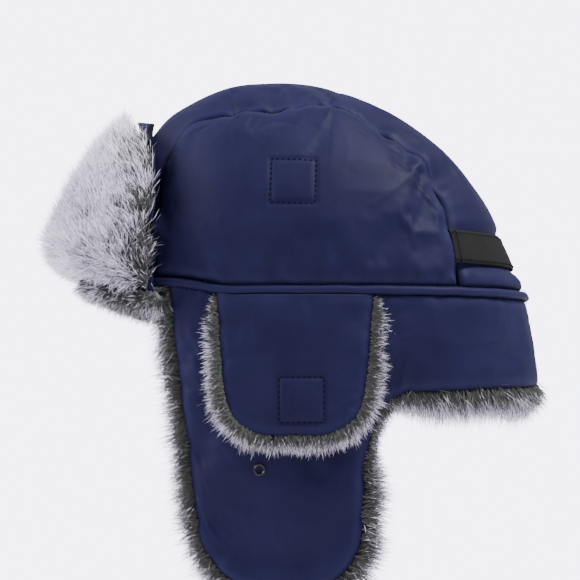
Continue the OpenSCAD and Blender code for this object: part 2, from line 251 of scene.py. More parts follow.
def as_sewn(co):
    """Moves points of the pattern to where the sewing pulls them: the band and what is sewn to it rise a little
    towards the brim, and the seams of the top panel wander."""
    lift = FRONT_LIFT * smooth((-42 - co[:, 1]) / 42) * bell(co[:, 2], 26)
    y, z = co[:, 1] - SEAM_MIDDLE, co[:, 2]
    turn, far = np.arctan2(z, y), np.hypot(y, z)
    from_seam = far - np.interp(turn, GUSSET_TURN, GUSSET_FAR)
    where = np.stack([turn * 100, np.sign(co[:, 0])], -1)
    sway = 2.4 * noise(where, (21.0, 3.0), 8) + 0.9 * noise(where, (9.0, 3.0), 9)
    sway *= bell(from_seam, 9) * smooth((z - 14) / 16) * smooth((np.abs(co[:, 0]) - 12) / 20)
    return co + lift[:, None] * [0, 0, 1] + (sway / np.maximum(far, 1))[:, None] * np.stack([0 * y, y, z], -1)


def make_piece(name, co, faces, material, uv=None, uv_name="Weave"):
    """A mesh object from points in millimetres and a list of face arrays, with one UV pair for each point."""
    me = bpy.data.meshes.new(name)
    co = as_sewn(np.asarray(co, float).reshape(-1, 3))
    me.vertices.add(len(co))
    me.vertices.foreach_set("co", (co * MM).ravel())
    faces = [np.asarray(f, np.int32) for f in faces if len(f)]
    index = np.concatenate([f.ravel() for f in faces])
    sizes = np.concatenate([np.full(len(f), f.shape[1]) for f in faces])
    me.loops.add(len(index))
    me.loops.foreach_set("vertex_index", index)
    me.polygons.add(len(sizes))
    me.polygons.foreach_set("loop_start", np.concatenate([[0], np.cumsum(sizes)[:-1]]).astype(np.int32))
    me.polygons.foreach_set("use_smooth", np.ones(len(sizes), bool))
    if uv is not None:
        layer = me.uv_layers.new(name=uv_name)
        layer.data.foreach_set("uv", np.asarray(uv, np.float32).reshape(-1, 2)[index].ravel())
    me.update(calc_edges=True)
    me.validate()
    me.materials.append(material)
    obj = bpy.data.objects.new(name, me)
    bpy.context.scene.collection.objects.link(obj)
    return obj


def strip_faces(m, n, wrap=False, start=0):
    i, j = np.meshgrid(np.arange(m - 1), np.arange(n if wrap else n - 1), indexing="ij")
    a, b = i * n + j, i * n + (j + 1) % n
    return start + np.stack([a, b, b + n, a + n], -1).reshape(-1, 4)


def closed_faces(m, n, wrap=False):
    """Faces of a closed solid whose m x n front points are followed by its m x n back points."""
    k = m * n
    back = strip_faces(m, n, wrap)[:, ::-1] + k
    j = np.arange(n if wrap else n - 1)
    low = np.stack([j + k, (j + 1) % n + k, (j + 1) % n, j], -1)
    top = (m - 1) * n
    high = np.stack([top + j, top + (j + 1) % n, top + (j + 1) % n + k, top + j + k], -1)
    rims = [low, high]
    if not wrap:
        i = np.arange(m - 1) * n
        rims.append(np.stack([i, i + n, i + n + k, i + k], -1))
        i = i + n - 1
        rims.append(np.stack([i + k, i + n + k, i + n, i], -1))
    return np.concatenate([strip_faces(m, n, wrap), back, *rims])


def normals_of(p, wrap=False):
    if wrap:
        along = np.roll(p, -1, 1) - np.roll(p, 1, 1)
    else:
        along = np.gradient(p, axis=1)
    up = np.gradient(p, axis=0)
    return unit(np.cross(along, up))


def lengths_uv(p):
    """UVs in metres of cloth: how far each point of a grid is along its row and up its column."""
    u = np.concatenate([np.zeros((p.shape[0], 1)), np.cumsum(np.linalg.norm(np.diff(p, axis=1), axis=-1), 1)], 1)
    v = np.concatenate([np.zeros((1, p.shape[1])), np.cumsum(np.linalg.norm(np.diff(p, axis=0), axis=-1), 0)], 0)
    u -= u[:, u.shape[1] // 2][:, None]
    return np.stack([u, v], -1) * MM


def solid(name, front, back, material, side=1, wrap=False):
    """A closed piece between two grids of points; side -1 makes it for the right, as a mirror image."""
    uv = lengths_uv(front)
    co = np.concatenate([front.reshape(-1, 3), back.reshape(-1, 3)]) * [side, 1, 1]
    faces = closed_faces(front.shape[0], front.shape[1], wrap)
    faces = faces if side > 0 else faces[:, ::-1]
    return make_piece(name, co, [faces], material, np.concatenate([uv.reshape(-1, 2)] * 2))


def tubes(name, paths, radius, material, sides=6):
    """One mesh of many short closed tubes, for stitches; paths is (count, rings, 3), thinnest at both ends."""
    count, rings, _ = paths.shape
    run = np.gradient(paths, axis=1)
    run /= np.linalg.norm(run, axis=-1, keepdims=True)
    a = np.cross(run, np.array([0.31, 0.52, 0.79]))
    a /= np.linalg.norm(a, axis=-1, keepdims=True)
    b = np.cross(run, a)
    t = np.linspace(-1, 1, rings)
    r = radius * (1 - 0.75 * np.abs(t) ** 3)[None, :, None, None]
    ang = np.arange(sides) * 2 * math.pi / sides
    ring = paths[:, :, None] + r * (
        a[:, :, None] * np.cos(ang)[None, None, :, None] + b[:, :, None] * np.sin(ang)[None, None, :, None])
    one = strip_faces(rings, sides, wrap=True)[:, ::-1]
    start = (np.arange(count) * rings * sides)[:, None, None]
    caps = np.stack([np.arange(sides), (rings - 1) * sides + np.arange(sides)[::-1]])
    return make_piece(name, ring.reshape(-1, 3), [(one[None] + start).reshape(-1, 4),
                      (caps[None] + start).reshape(-1, sides)], material)


STITCH_SHARE = 0.68         # of each pitch that the thread covers


def stitches(name, path, out, material, pitch, radius, proud=0.22, side=1):
    """A row of stitches along a path on cloth; out is the cloth's normal at each point of the path."""
    run = run_of(path)
    count = max(int(run[-1] / pitch), 1)
    t = np.linspace(-0.5, 0.5, 5) * STITCH_SHARE
    s = (np.arange(count)[:, None] + 0.5 + t[None]) * run[-1] / count
    at, n = sample(s, run, path), sample(s, run, out)
    lift = proud - (proud + radius) * (np.abs(t) / t[-1]) ** 3
    return tubes(name, (at + n * lift[None, :, None]) * [side, 1, 1], radius, material)


# ---------------------------------------------------------------- cloth
def edge_info(p, edges):
    """How far each grid point is from the named edges of its grid, and how far along them its nearest point lies."""
    m, n = p.shape[:2]
    rims = {"low": p[0], "high": p[-1], "first": p[:, 0], "last": p[:, -1]}
    pts, run, base = [], [], 0.0
    for e in edges:
        r = rims[e]
        s = run_of(r)
        pts.append(r)
        run.append(s + base)
        base += s[-1] + 40
    pts, run = np.concatenate(pts), np.concatenate(run)
    tree = tree_of(pts)
    dist, along = np.empty(m * n), np.empty(m * n)
    for k, q in enumerate(p.reshape(-1, 3)):
        _, near, dist[k] = tree.find(q)
        along[k] = run[near]
    return dist.reshape(m, n), along.reshape(m, n)


def pull_in(p, edges, groove, puff, pucker, pleat, seed, pitch=6.0, run=11.0):
    """Relief of quilted cloth by its sewn edges, in millimetres along the normal: it dips at the seam and puckers."""
    dist, along = edge_info(p, edges)
    relief = puff * (1 - np.exp(-dist / 12.0)) - groove * np.exp(-(dist / 2.0) ** 1.3)
    ripple = noise(np.stack([along, dist], -1), (pitch, 3.2 * run), seed)
    ripple += 0.6 * noise(np.stack([along, dist], -1), (0.45 * pitch, 1.4 * run), seed + 1)
    gate = 0.35 + 0.65 * smooth(0.5 + noise(np.stack([along, along], -1), 31.0, seed + 2))
    folds = 0.5 - np.abs(noise(np.stack([along + 0.5 * dist, dist], -1), (13.0, 70.0), seed + 3))
    folds *= smooth(0.2 + 1.2 * noise(np.stack([along, along], -1), 37.0, seed + 4))
    relief += pleat * folds * np.exp(-dist / 21.0) * (1 - np.exp(-dist / 3.0))
    return relief + pucker * ripple * gate * np.exp(-dist / run) * (1 - np.exp(-dist / 1.2))


def upsample(a, m, n):
    """A coarse grid of vectors, smoothly resampled to m x n."""
    def matrix(k, count):
        x = np.linspace(0, k - 1, count)
        i = np.clip(np.floor(x).astype(int), 0, k - 2)
        f = x - i
        w = np.zeros((count, k))
        taps = [-0.5 * f**3 + f**2 - 0.5 * f, 1.5 * f**3 - 2.5 * f**2 + 1,
                -1.5 * f**3 + 2 * f**2 + 0.5 * f, 0.5 * f**3 - 0.5 * f**2]
        for t, tap in enumerate(taps):
            np.add.at(w, (np.arange(count), np.clip(i + t - 1, 0, k - 1)), tap)
        return w
    return np.einsum("ia,jb,abk->ijk", matrix(a.shape[0], m), matrix(a.shape[1], n), a)


SIM_FRAMES = 18
COARSER = 3                 # the simulated grid has a third of the rows and columns


def simulate(p, pinned, pressure, swell, cap):
    """Blender's cloth on a padded panel held at its seams: cut a little too large and blown out by its filling.
    Gives how far each point of the grid moves, in millimetres."""
    coarse = upsample(p, p.shape[0] // COARSER, p.shape[1] // COARSER)
    held = upsample(pinned[..., None].astype(float), *coarse.shape[:2])[..., 0] > 0.3
    m, n = coarse.shape[:2]
    obj = make_piece("cloth_work", coarse, [strip_faces(m, n)], MATERIALS["nylon"])
    group = obj.vertex_groups.new(name="held")
    group.add([int(k) for k in np.flatnonzero(held.ravel())], 1.0, "REPLACE")
    cloth = obj.modifiers.new("Cloth", "CLOTH")
    s = cloth.settings
    s.quality = 5
    s.mass = 0.3
    s.tension_stiffness = s.compression_stiffness = 25
    s.shear_stiffness = 8
    s.bending_stiffness = 0.4
    s.air_damping = 4
    s.vertex_group_mass = "held"
    s.use_pressure = True
    s.uniform_pressure_force = pressure
    s.shrink_min = s.shrink_max = -swell
    s.effector_weights.gravity = 0
    cloth.collision_settings.use_collision = False
    cloth.point_cache.frame_start, cloth.point_cache.frame_end = 1, SIM_FRAMES
    for frame_number in range(1, SIM_FRAMES + 1):
        bpy.context.scene.frame_set(frame_number)
    done = obj.evaluated_get(bpy.context.evaluated_depsgraph_get()).to_mesh()
    co = np.empty(m * n * 3)
    done.vertices.foreach_get("co", co)
    bpy.context.scene.frame_set(1)
    bpy.data.objects.remove(obj, do_unlink=True)
    move = co.reshape(m, n, 3) / MM - coarse
    size = np.linalg.norm(move, axis=-1, keepdims=True)
    print("cloth", p.shape[:2], "moved", round(float(size.mean()), 2), "at most", round(float(size.max()), 2), "mm")
    move *= cap * np.tanh(size / cap) / np.maximum(size, 1e-6)
    return upsample(move, *p.shape[:2])


# ---------------------------------------------------------------- fur
def scatter(p, count, rng, wrap=False):
    """count points spread evenly over a grid of points, with the grid's normals there and its up direction."""
    n = normals_of(p, wrap)
    if wrap:
        p, n = [np.concatenate([a, a[:, :1]], 1) for a in (p, n)]
    area = np.linalg.norm(np.cross(p[:-1, 1:] - p[:-1, :-1], p[1:, :-1] - p[:-1, :-1]), axis=-1)
    cell = rng.choice(area.size, count, p=area.ravel() / area.sum())
    i, j = np.unravel_index(cell, area.shape)
    f, g = rng.random((count, 1)), rng.random((count, 1))

    def at(a):
        return (a[i, j] * (1 - f) + a[i + 1, j] * f) * (1 - g) + (a[i, j + 1] * (1 - f) + a[i + 1, j + 1] * f) * g
    up = p[i + 1, j] - p[i, j]
    along = p[i, j + 1] - p[i, j]
    return at(p), at(n), up / np.linalg.norm(up, axis=1)[:, None], along / np.linalg.norm(along, axis=1)[:, None]


LINING_STRANDS = 7600        # on one side of the curtain
RIM_STRANDS = 17000         # round one side of the curtain
HATCH_RIM_STRANDS = 11000
BRIM_STRANDS = 20000        # on half of the brim
FOREHEAD_STRANDS = CROWN_STRANDS = 9000
MOST_STRANDS = 13000        # most in one piece, which keeps its mesh under the export's limit


def fur(name, roots, stand, lay, length, frost, rng, width=0.5, clump=5.0, gather=0.45, curl=0.9, side=1,
        uneven=0.2):
    """Tapered strands, as a list of pieces. stand is the way they leave the skin and lay the way they bend;
    frost is how pale each strand is, from 0 to 1, and uneven how much it varies."""
    count = len(roots)
    lean = clump_shift(roots, clump, gather, rng)
    length = np.asarray(length) * rng.uniform(0.66, 1.14, count)
    frost = np.clip(np.asarray(frost) + rng.normal(0, uneven, count), 0.02, 0.97)
    kink = rng.normal(0, 1, (count, 3))
    start = unit(stand + 0.28 * rng.normal(0, 1, (count, 3)))
    radius = 0.5 * width * rng.uniform(0.7, 1.25, count)
    a = unit(np.cross(start, rng.normal(0, 1, (count, 3))))
    b = np.cross(start, a)
    steps = np.array([0.0, 0.36, 0.72, 1.0])
    girth = np.array([1.0, 0.95, 0.6, 0.0])

    def centre(t):
        bent = start * t + (lay + lean) * t**2 * 0.62 + curl * 0.12 * kink * t**2
        return roots + bent * length[:, None]
    rings = []
    for t, g in zip(steps[:3], girth):
        for k in range(3):
            turn = 2 * math.pi * k / 3
            rings.append(centre(t) + (a * math.cos(turn) + b * math.sin(turn)) * (radius * g)[:, None])
    co = np.stack([*rings, centre(1.0)], 1) * [side, 1, 1]
    quads = np.array([[3 * r + k, 3 * r + (k + 1) % 3, 3 * r + 3 + (k + 1) % 3, 3 * r + 3 + k]
                      for r in range(2) for k in range(3)])
    tris = np.array([[6 + k, 6 + (k + 1) % 3, 9] for k in range(3)] + [[2, 1, 0]])
    if side < 0:
        quads, tris = quads[:, ::-1], tris[:, ::-1]
    u = frost[:, None] + np.array([0, 0.002, 0.004] * 3 + [0.002])
    v = np.repeat(steps, [3, 3, 3, 1])[None] + 0.0 * u
    uv = np.stack([u, 0.01 + 0.98 * v], -1)
    pieces = []
    parts = -(-count // MOST_STRANDS)
    for k in range(parts):
        part = slice(k * count // parts, (k + 1) * count // parts)
        first = (np.arange(part.stop - part.start) * 10)[:, None, None]
        pieces.append(make_piece(f"{name}_{k + 1}" if parts > 1 else name, co[part].reshape(-1, 3),
                                 [(quads[None] + first).reshape(-1, 4), (tris[None] + first).reshape(-1, 3)],
                                 MATERIALS["fur"], uv[part].reshape(-1, 2), "OFBake"))
    return pieces


def clump_shift(roots, size, gather, rng):
    """How far strands lean towards the middle of the tuft that they belong to."""
    count = max(len(roots) // 14, 1)
    middles = rng.choice(len(roots), count, replace=False)
    tree = tree_of(roots[middles])
    near = np.array([tree.find(q)[1] for q in roots])
    lean = roots[middles][near] - roots
    swirl = unit(rng.normal(0, 1, (count, 3)))[near]
    return np.clip(lean / size, -1.5, 1.5) * gather + 0.35 * gather * swirl


# ---------------------------------------------------------------- materials
class Graph:
    """A node material, with short ways to add nodes. Values on the shader's own sockets are set directly."""

    def __init__(self, name, colour, roughness, **sockets):
        self.material = bpy.data.materials.new(name)
        self.material.use_nodes = True
        self.tree = self.material.node_tree
        self.shader = self.tree.nodes["Principled BSDF"]
        self.shader.inputs["Roughness"].default_value = roughness
        self.shader.inputs["Base Color"].default_value = (*colour, 1)
        self.material.diffuse_color = (*colour, 1)
        for key, value in sockets.items():
            self.shader.inputs[key.replace("_", " ")].default_value = value

    def node(self, kind, inputs=None, out=0, **settings):
        n = self.tree.nodes.new(kind)
        for k, v in settings.items():
            setattr(n, k, v)
        for k, v in (inputs or {}).items():
            if isinstance(v, bpy.types.NodeSocket):
                self.tree.links.new(v, n.inputs[k])
            else:
                n.inputs[k].default_value = v
        return n.outputs[out]

    def math(self, operation, a, b=0.0, clamp=False):
        return self.node("ShaderNodeMath", {0: a, 1: b}, operation=operation, use_clamp=clamp)

    def place(self, name=None):
        if name:
            return self.node("ShaderNodeUVMap", uv_map=name)
        return self.node("ShaderNodeTexCoord", out="Object")

    def noise(self, where, scale, detail=3.0, roughness=0.55):
        return self.node("ShaderNodeTexNoise", {"Vector": where, "Scale": scale, "Detail": detail,
                                                "Roughness": roughness})

    def spread(self, value, low, high, to_low=0.0, to_high=1.0):
        return self.node("ShaderNodeMapRange", {"Value": value, "From Min": low, "From Max": high,
                                                "To Min": to_low, "To Max": to_high})

    def blend(self, share, a, b):
        mixed = self.tree.nodes.new("ShaderNodeMix")
        mixed.data_type = "RGBA"
        for socket, value in ((mixed.inputs[0], share), (mixed.inputs[6], a), (mixed.inputs[7], b)):
            if isinstance(value, bpy.types.NodeSocket):
                self.tree.links.new(value, socket)
            else:
                socket.default_value = (*value, 1) if isinstance(value, tuple) else value
        return mixed.outputs[2]

    def parts(self, where):
        parts = self.tree.nodes.new("ShaderNodeSeparateXYZ")
        self.tree.links.new(where, parts.inputs[0])
        return parts.outputs

    def waves(self, where, pitch_u, pitch_v):
        """Two sets of ridges crossed as in a plain weave, from 0 to 1; where is a UV map in metres."""
        parts = self.parts(where)
        u = self.math("SINE", self.math("MULTIPLY", parts[0], 2 * math.pi / pitch_u))
        v = self.math("SINE", self.math("MULTIPLY", parts[1], 2 * math.pi / pitch_v))
        return self.math("ADD", self.math("MULTIPLY", self.math("MULTIPLY", u, v), 0.5), 0.5)

    def colour(self, socket):
        self.tree.links.new(socket, self.shader.inputs["Base Color"])

    def rough(self, socket):
        self.tree.links.new(socket, self.shader.inputs["Roughness"])

    def bump(self, height, strength, distance):
        self.tree.links.new(self.node("ShaderNodeBump", {"Height": height, "Strength": strength,
                                                         "Distance": distance}), self.shader.inputs["Normal"])
        return self.material


def nylon():
    g = Graph("shell_nylon", (0.011, 0.011, 0.038), 0.5)
    g.shader.inputs["Sheen Weight"].default_value = 0.015
    g.shader.inputs["Sheen Roughness"].default_value = 0.4
    g.shader.inputs["Sheen Tint"].default_value = (0.5, 0.56, 0.85, 1)
    g.shader.inputs["Specular IOR Level"].default_value = 0.045
    place, cloth = g.place(), g.place("Weave")
    cloud = g.noise(place, 26.0, 4.0)
    shade = g.blend(g.spread(cloud, 0.3, 0.7), (0.0062, 0.0055, 0.0225), (0.0092, 0.0084, 0.0335))
    weave = g.waves(cloth, 0.0009, 0.0011)
    slub = g.noise(g.node("ShaderNodeMapping", {"Vector": cloth, "Scale": (1600.0, 190.0, 1.0)}), 1.0, 2.0)
    thread = g.math("ADD", g.math("MULTIPLY", weave, 0.5), g.math("MULTIPLY", slub, 0.6))
    # painted highlight: lighter navy on the puffed crests beside the seams, on the head band's bulge and on the brim
    # backing's rolled edges
    crest_highlight = g.node("ShaderNodeAttribute", attribute_name="CrestHighlight", out="Fac")
    shade = g.blend(g.math("MULTIPLY", crest_highlight, 0.5), shade, (0.02, 0.02, 0.066))
    # painted shade: near-black navy in the seam grooves
    seam = g.node("ShaderNodeAttribute", attribute_name="Seam", out="Fac")
    shade = g.blend(g.math("MULTIPLY", seam, 0.85), shade, (0.0018, 0.0018, 0.006))
    g.colour(g.blend(g.spread(thread, 0.25, 0.95, 0.0, 0.3), shade, (0.0165, 0.0172, 0.06)))
    g.rough(g.spread(cloud, 0.25, 0.75, 0.46, 0.58))
    fine = g.noise(place, 420.0, 3.0)
    height = g.math("ADD", g.math("MULTIPLY", thread, 0.6), g.math("MULTIPLY", fine, 0.4))
    return g.bump(height, 0.35, 0.0004)


def thread():
    g = Graph("seam_thread", (0.003, 0.003, 0.008), 0.7, Specular_IOR_Level=0.03)
    twist = g.node("ShaderNodeTexWave", {"Vector": g.place(), "Scale": 900.0, "Distortion": 2.0})
    g.colour(g.blend(twist, (0.002, 0.002, 0.005), (0.005, 0.005, 0.013)))
    return g.bump(twist, 0.4, 0.0001)


def fur_strand():
    g = Graph("fur_strand", (0.5, 0.49, 0.55), 0.62)
    g.shader.inputs["Sheen Weight"].default_value = 0.15
    g.shader.inputs["Specular IOR Level"].default_value = 0.3
    frost, along, _ = g.parts(g.place("OFBake"))
    start = g.spread(frost, 0.0, 1.0, 0.95, 0.1)
    pale = g.math("DIVIDE", g.math("SUBTRACT", along, start), 0.3, clamp=True)
    root = g.blend(g.spread(g.math("FRACT", g.math("MULTIPLY", frost, 37.0)), 0.0, 1.0),
                   (0.009, 0.0095, 0.009), (0.055, 0.055, 0.053))
    tip = g.blend(g.spread(g.math("FRACT", g.math("MULTIPLY", frost, 91.0)), 0.0, 1.0),
                  (0.66, 0.6, 0.8), (0.9, 0.84, 1.0))
    g.colour(g.blend(pale, root, tip))
    return g.material


def fur_skin():
    g = Graph("fur_skin", (0.05, 0.05, 0.052), 0.85)
    tufts = g.noise(g.place(), 240.0, 5.0, 0.7)
    g.colour(g.blend(g.spread(tufts, 0.35, 0.75), (0.022, 0.023, 0.023), (0.2, 0.2, 0.21)))
    return g.bump(tufts, 0.9, 0.003)


def fibre_fill():
    g = Graph("fibre_fill", (0.8, 0.79, 0.75), 0.9)
    fibres = g.noise(g.place(), 300.0, 6.0, 0.75)
    g.colour(g.blend(g.spread(fibres, 0.3, 0.7), (0.66, 0.65, 0.61), (0.86, 0.85, 0.82)))
    return g.bump(fibres, 0.8, 0.002)


def elastic_twill():
    g = Graph("elastic_twill", (0.008, 0.008, 0.0085), 0.75, Specular_IOR_Level=0.1)
    u, v, _ = g.parts(g.place("Weave"))
    slant = g.math("ADD", u, g.math("MULTIPLY", v, 0.6))
    ribs = g.math("SINE", g.math("MULTIPLY", slant, 2 * math.pi / 0.0016))
    ribs = g.math("ADD", g.math("MULTIPLY", ribs, 0.5), 0.5)
    dust = g.noise(g.place(), 180.0, 4.0)
    tone = g.math("MULTIPLY", ribs, g.spread(dust, 0.3, 0.7, 0.6, 1.0))
    g.colour(g.blend(tone, (0.003, 0.003, 0.0032), (0.012, 0.012, 0.0123)))
    return g.bump(g.math("ADD", ribs, g.math("MULTIPLY", dust, 0.5)), 0.7, 0.0004)


def webbing():
    g = Graph("webbing", (0.014, 0.014, 0.016), 0.55)
    weave = g.waves(g.place("Weave"), 0.002, 0.0014)
    dust = g.noise(g.place(), 260.0, 3.0)
    g.colour(g.blend(g.math("MULTIPLY", weave, dust), (0.006, 0.006, 0.007), (0.045, 0.045, 0.05)))
    return g.bump(weave, 0.7, 0.0005)


def port_mesh():
    g = Graph("port_mesh", (0.02, 0.02, 0.024), 0.7)
    cells = g.node("ShaderNodeTexVoronoi", {"Vector": g.place(), "Scale": 620.0}, feature="DISTANCE_TO_EDGE")
    ribs = g.spread(cells, 0.02, 0.12, 1.0, 0.0)
    g.colour(g.blend(ribs, (0.003, 0.003, 0.004), (0.05, 0.05, 0.06)))
    return g.bump(ribs, 0.8, 0.0005)


def metal(name, dark, pale, roughness, scale, metallic=1.0):
    g = Graph(name, pale, roughness, Metallic=metallic)
    grain = g.noise(g.place(), scale, 5.0)
    g.colour(g.blend(g.spread(grain, 0.35, 0.65), dark, pale))
    g.rough(g.spread(grain, 0.3, 0.7, roughness - 0.06, roughness + 0.1))
    return g.bump(g.noise(g.place(), 5 * scale, 2.0), 0.15, 0.0001)


def buckle_plastic():
    g = Graph("buckle_plastic", (0.012, 0.012, 0.014), 0.4)
    place = g.place()
    scuff = g.noise(place, 90.0, 5.0, 0.7)
    g.colour(g.blend(g.spread(scuff, 0.45, 0.8), (0.01, 0.01, 0.011), (0.028, 0.028, 0.031)))
    g.rough(g.spread(scuff, 0.3, 0.8, 0.36, 0.52))
    return g.bump(g.noise(place, 1500.0, 2.0), 0.3, 0.0001)


MATERIALS = {
    "nylon": nylon(),
    "thread": thread(),
    "fur": fur_strand(),
    "skin": fur_skin(),
    "fill": fibre_fill(),
    "twill": elastic_twill(),
    "webbing": webbing(),
    "mesh": port_mesh(),
    "stud": metal("stud_enamel", (0.006, 0.006, 0.007), (0.02, 0.02, 0.022), 0.24, 160.0, 0.35),
    "steel": metal("washer_steel", (0.32, 0.32, 0.33), (0.6, 0.6, 0.6), 0.34, 200.0),
    "magnet": metal("magnet_nickel", (0.5, 0.5, 0.48), (0.72, 0.71, 0.68), 0.22, 120.0),
    "plastic": buckle_plastic(),
}


def store_painted_light(piece, share, name="CrestHighlight"):
    """Stores a value from 0 to 1 at each point, which the cloth's material reads: painted highlight on puffed crests
    and rolled edges, or painted shade in a seam's groove.
    """
    layer = piece.data.attributes.new(name, "FLOAT", "POINT")
    layer.data.foreach_set("value", np.concatenate([np.asarray(share, float).ravel()] * 2))


# ---------------------------------------------------------------- panels that are sewn and padded
ALL_ROUND = ("low", "high", "first", "last")


class Cloth:
    """A sewn cloth panel: its flat pattern on the hat, and the puffed face that other pieces lie on."""

    def __init__(self, name, grid, edges, side, puff, pucker, seed, wave, swell, groove=2.3, flat=None, marks=(),
                 inset=INSET, pleat=0.8):
        dist, _ = edge_info(grid, edges)
        relief = pull_in(grid, edges, groove, puff, pucker, pleat, seed)
        relief += wave * noise(grid, (46, 40, 30), seed + 5) * smooth(dist / 15)
        relief += 0.5 * wave * (creases(grid, (24, 34, 17), seed + 6) - 0.6) * smooth(dist / 12)
        if flat is not None:
            relief *= flat
        for mark in marks:
            relief += mark(grid)
        self.normals = normals_of(grid)
        relief -= mix(INSET, inset, smooth((grid[..., 2] - 8) / 24))
        self.face = grid + self.normals * relief[..., None] + swell * (1 if flat is None else flat[..., None])
        self.normals = normals_of(self.face)
        back = self.face - self.normals * CLOTH
        self.piece = solid(name, self.face, back, MATERIALS["nylon"], side)
        # painted highlight along the puffed crest a few millimetres from each edge
        store_painted_light(self.piece, 0.55 * bell(dist - 4.5, 2.4))
        # painted shade in the seam groove at each edge
        store_painted_light(self.piece, bell(dist, 1.5), "Seam")
        self.side = side
        self.tree = tree_of(grid.reshape(-1, 3))

    def on(self, path):
        """The points of the puffed face that lie over points of the pattern, with the normals there."""
        face, normals = self.face.reshape(-1, 3), self.normals.reshape(-1, 3)
        at, out = np.empty_like(path), np.empty_like(path)
        for k, q in enumerate(path):
            near = self.tree.find_n(q, 4)
            w = np.array([1 / (d + 0.05) for _, _, d in near])
            w /= w.sum()
            ids = [i for _, i, _ in near]
            offset = q - np.array([list(p) for p, _, _ in near]).T @ w
            at[k] = w @ face[ids] + offset
            out[k] = w @ normals[ids]
        return at, unit(out)

    def sew(self, name, path):
        at, out = self.on(path)
        return stitches(name, at, out, MATERIALS["thread"], pitch=3.1, radius=0.28, proud=0.2,
                        side=self.side)


def square_path(centre, size, surface, turn=0.0):
    """A square of stitches round a magnet, as points on a surface given by y and z."""
    h = size / 2
    t = np.arange(-h, h, 0.6)
    y = np.concatenate([t, h + 0 * t, -t, -h + 0 * t, t[:1]])
    z = np.concatenate([-h + 0 * t, t, h + 0 * t, -t, [-h]])
    c, s = math.cos(turn), math.sin(turn)
    return surface(centre[0] + c * y - s * z, centre[1] + s * y + c * z)


def square_mark(centre, size, depth=0.9, disc=0.0):
    """Relief of a stitched square: a groove under the stitches and the edge of the magnet disc inside."""
    def relief(grid):
        y, z = np.abs(grid[..., 1] - centre[0]), np.abs(grid[..., 2] - centre[1])
        edge = np.abs(np.maximum(y, z) - size / 2)
        r = np.hypot(grid[..., 1] - centre[0], grid[..., 2] - centre[1])
        on_near_face = grid[..., 0] > 0
        pad = 0.35 * np.exp(-((np.maximum(y, z) / (0.55 * size)) ** 6))
        shape = pad - depth * bell(edge, 1.3) + disc * smooth((9.2 - r) / 1.2)
        return shape * on_near_face
    return relief


def crown_y_z(y, z):
    return crown_at(turn_at(y, z, 0.0), z, 0.0)


# ---------------------------------------------------------------- crown
CROWN_LOW = BAND_HEIGHT - 1.4
CROWN_SEAM_TOP = 0.98 * SEAM_TOP


def side_pattern(rows, cols):
    z = CROWN_LOW + (CROWN_SEAM_TOP - CROWN_LOW) * np.sin(np.linspace(0, math.pi / 2, rows))
    start, end = turn_at(seam_front(z), z, 0.0), turn_at(seam_back(z), z, 0.0)
    t = np.linspace(0, 1, cols)
    return crown_at(mix(start[:, None], end[:, None], t[None]), z[:, None], 0.0)


def cast(direction):
    """Points of the crown in directions from the middle of its base, found by halving."""
    low, high = np.full(direction.shape[:-1], 20.0), np.full(direction.shape[:-1], 200.0)
    for _ in range(26):
        mid = (low + high) / 2
        p = direction * mid[..., None] + [0, SEAM_MIDDLE, 0]
        z = np.minimum(p[..., 2], HEIGHT - 1e-6)
        from_centre = p[..., 1] - centre_y(z, 0.0)
        share = (power(np.abs(p[..., 0]) / np.maximum(half_width(z, 0.0), 1e-6), PLAN_N)
                 + power(np.abs(from_centre) / reach(z, 0.0, p[..., 1] > centre_y(z, 0.0)), PLAN_N))
        outside = (share > 1) | (p[..., 2] >= HEIGHT)
        low, high = np.where(outside, low, mid), np.where(outside, mid, high)
    return direction * low[..., None] + [0, SEAM_MIDDLE, 0]


def top_pattern(rows, cols):
    """The gusset between the two side panels: rows run from the front over the top, columns from right to left."""
    s = np.linspace(0, 1, rows)
    rise = np.where(s < 0.5, np.sin(np.minimum(s / 0.32, 1) * math.pi / 2),
                    np.sin(np.minimum((1 - s) / 0.32, 1) * math.pi / 2))
    z = CROWN_LOW + (CROWN_SEAM_TOP - CROWN_LOW) * rise
    middle = mix(seam_front(CROWN_SEAM_TOP), seam_back(CROWN_SEAM_TOP), np.clip((s - 0.32) / 0.36, 0, 1))
    y = np.where(s < 0.32, seam_front(z), np.where(s > 0.68, seam_back(z), middle))
    edge = crown_y_z(y, z)
    run = np.hypot(edge[:, 1] - SEAM_MIDDLE, edge[:, 2])
    bank = np.arctan2(edge[:, 0], run)[:, None] * np.linspace(-1, 1, cols)[None]
    across = np.cos(bank)
    direction = np.stack([np.sin(bank), across * ((edge[:, 1] - SEAM_MIDDLE) / run)[:, None],
                          across * (edge[:, 2] / run)[:, None]], -1)
    return cast(direction)


def under_elastic(grid):
    """1 where the cloth is free to puff, 0 where the elastic holds it down."""
    z = grid[..., 2]
    behind = smooth((grid[..., 1] - seam_back(z) + 6) / 8)
    held = smooth((z - ELASTIC[0] + 7) / 7) * smooth((ELASTIC[1] + 7 - z) / 7)
    return 1 - 0.9 * behind * held


def cinch(grid):
    """The back drawn in by the elastic, in millimetres along the normal."""
    behind = smooth((grid[..., 1] - seam_back(grid[..., 2]) + 14) / 34)
    high = smooth((grid[..., 2] - 5) / 15)
    return -CINCH * high * behind * bell(grid[..., 2] - 0.5 * sum(ELASTIC), 24)


def crown_padding():
    """Padding under the crown's cloth, kept clear of the seams."""
    parts = [("top", top_pattern(110, 60), 1)]
    parts += [(name, side_pattern(60, 90), side) for name, side in SIDES.items()]
    for name, grid, side in parts:
        normals, inner = normals_of(grid), (slice(5, -5), slice(5, -5))
        top, low = (grid - normals * 7.2)[inner], (grid - normals * 9.2)[inner]
        pad = solid(f"crown_wadding_{name}", top, low, MATERIALS["fill"], side)
        if name == "top":
            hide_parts("crown_wadding")
        ride_all("root", pad)


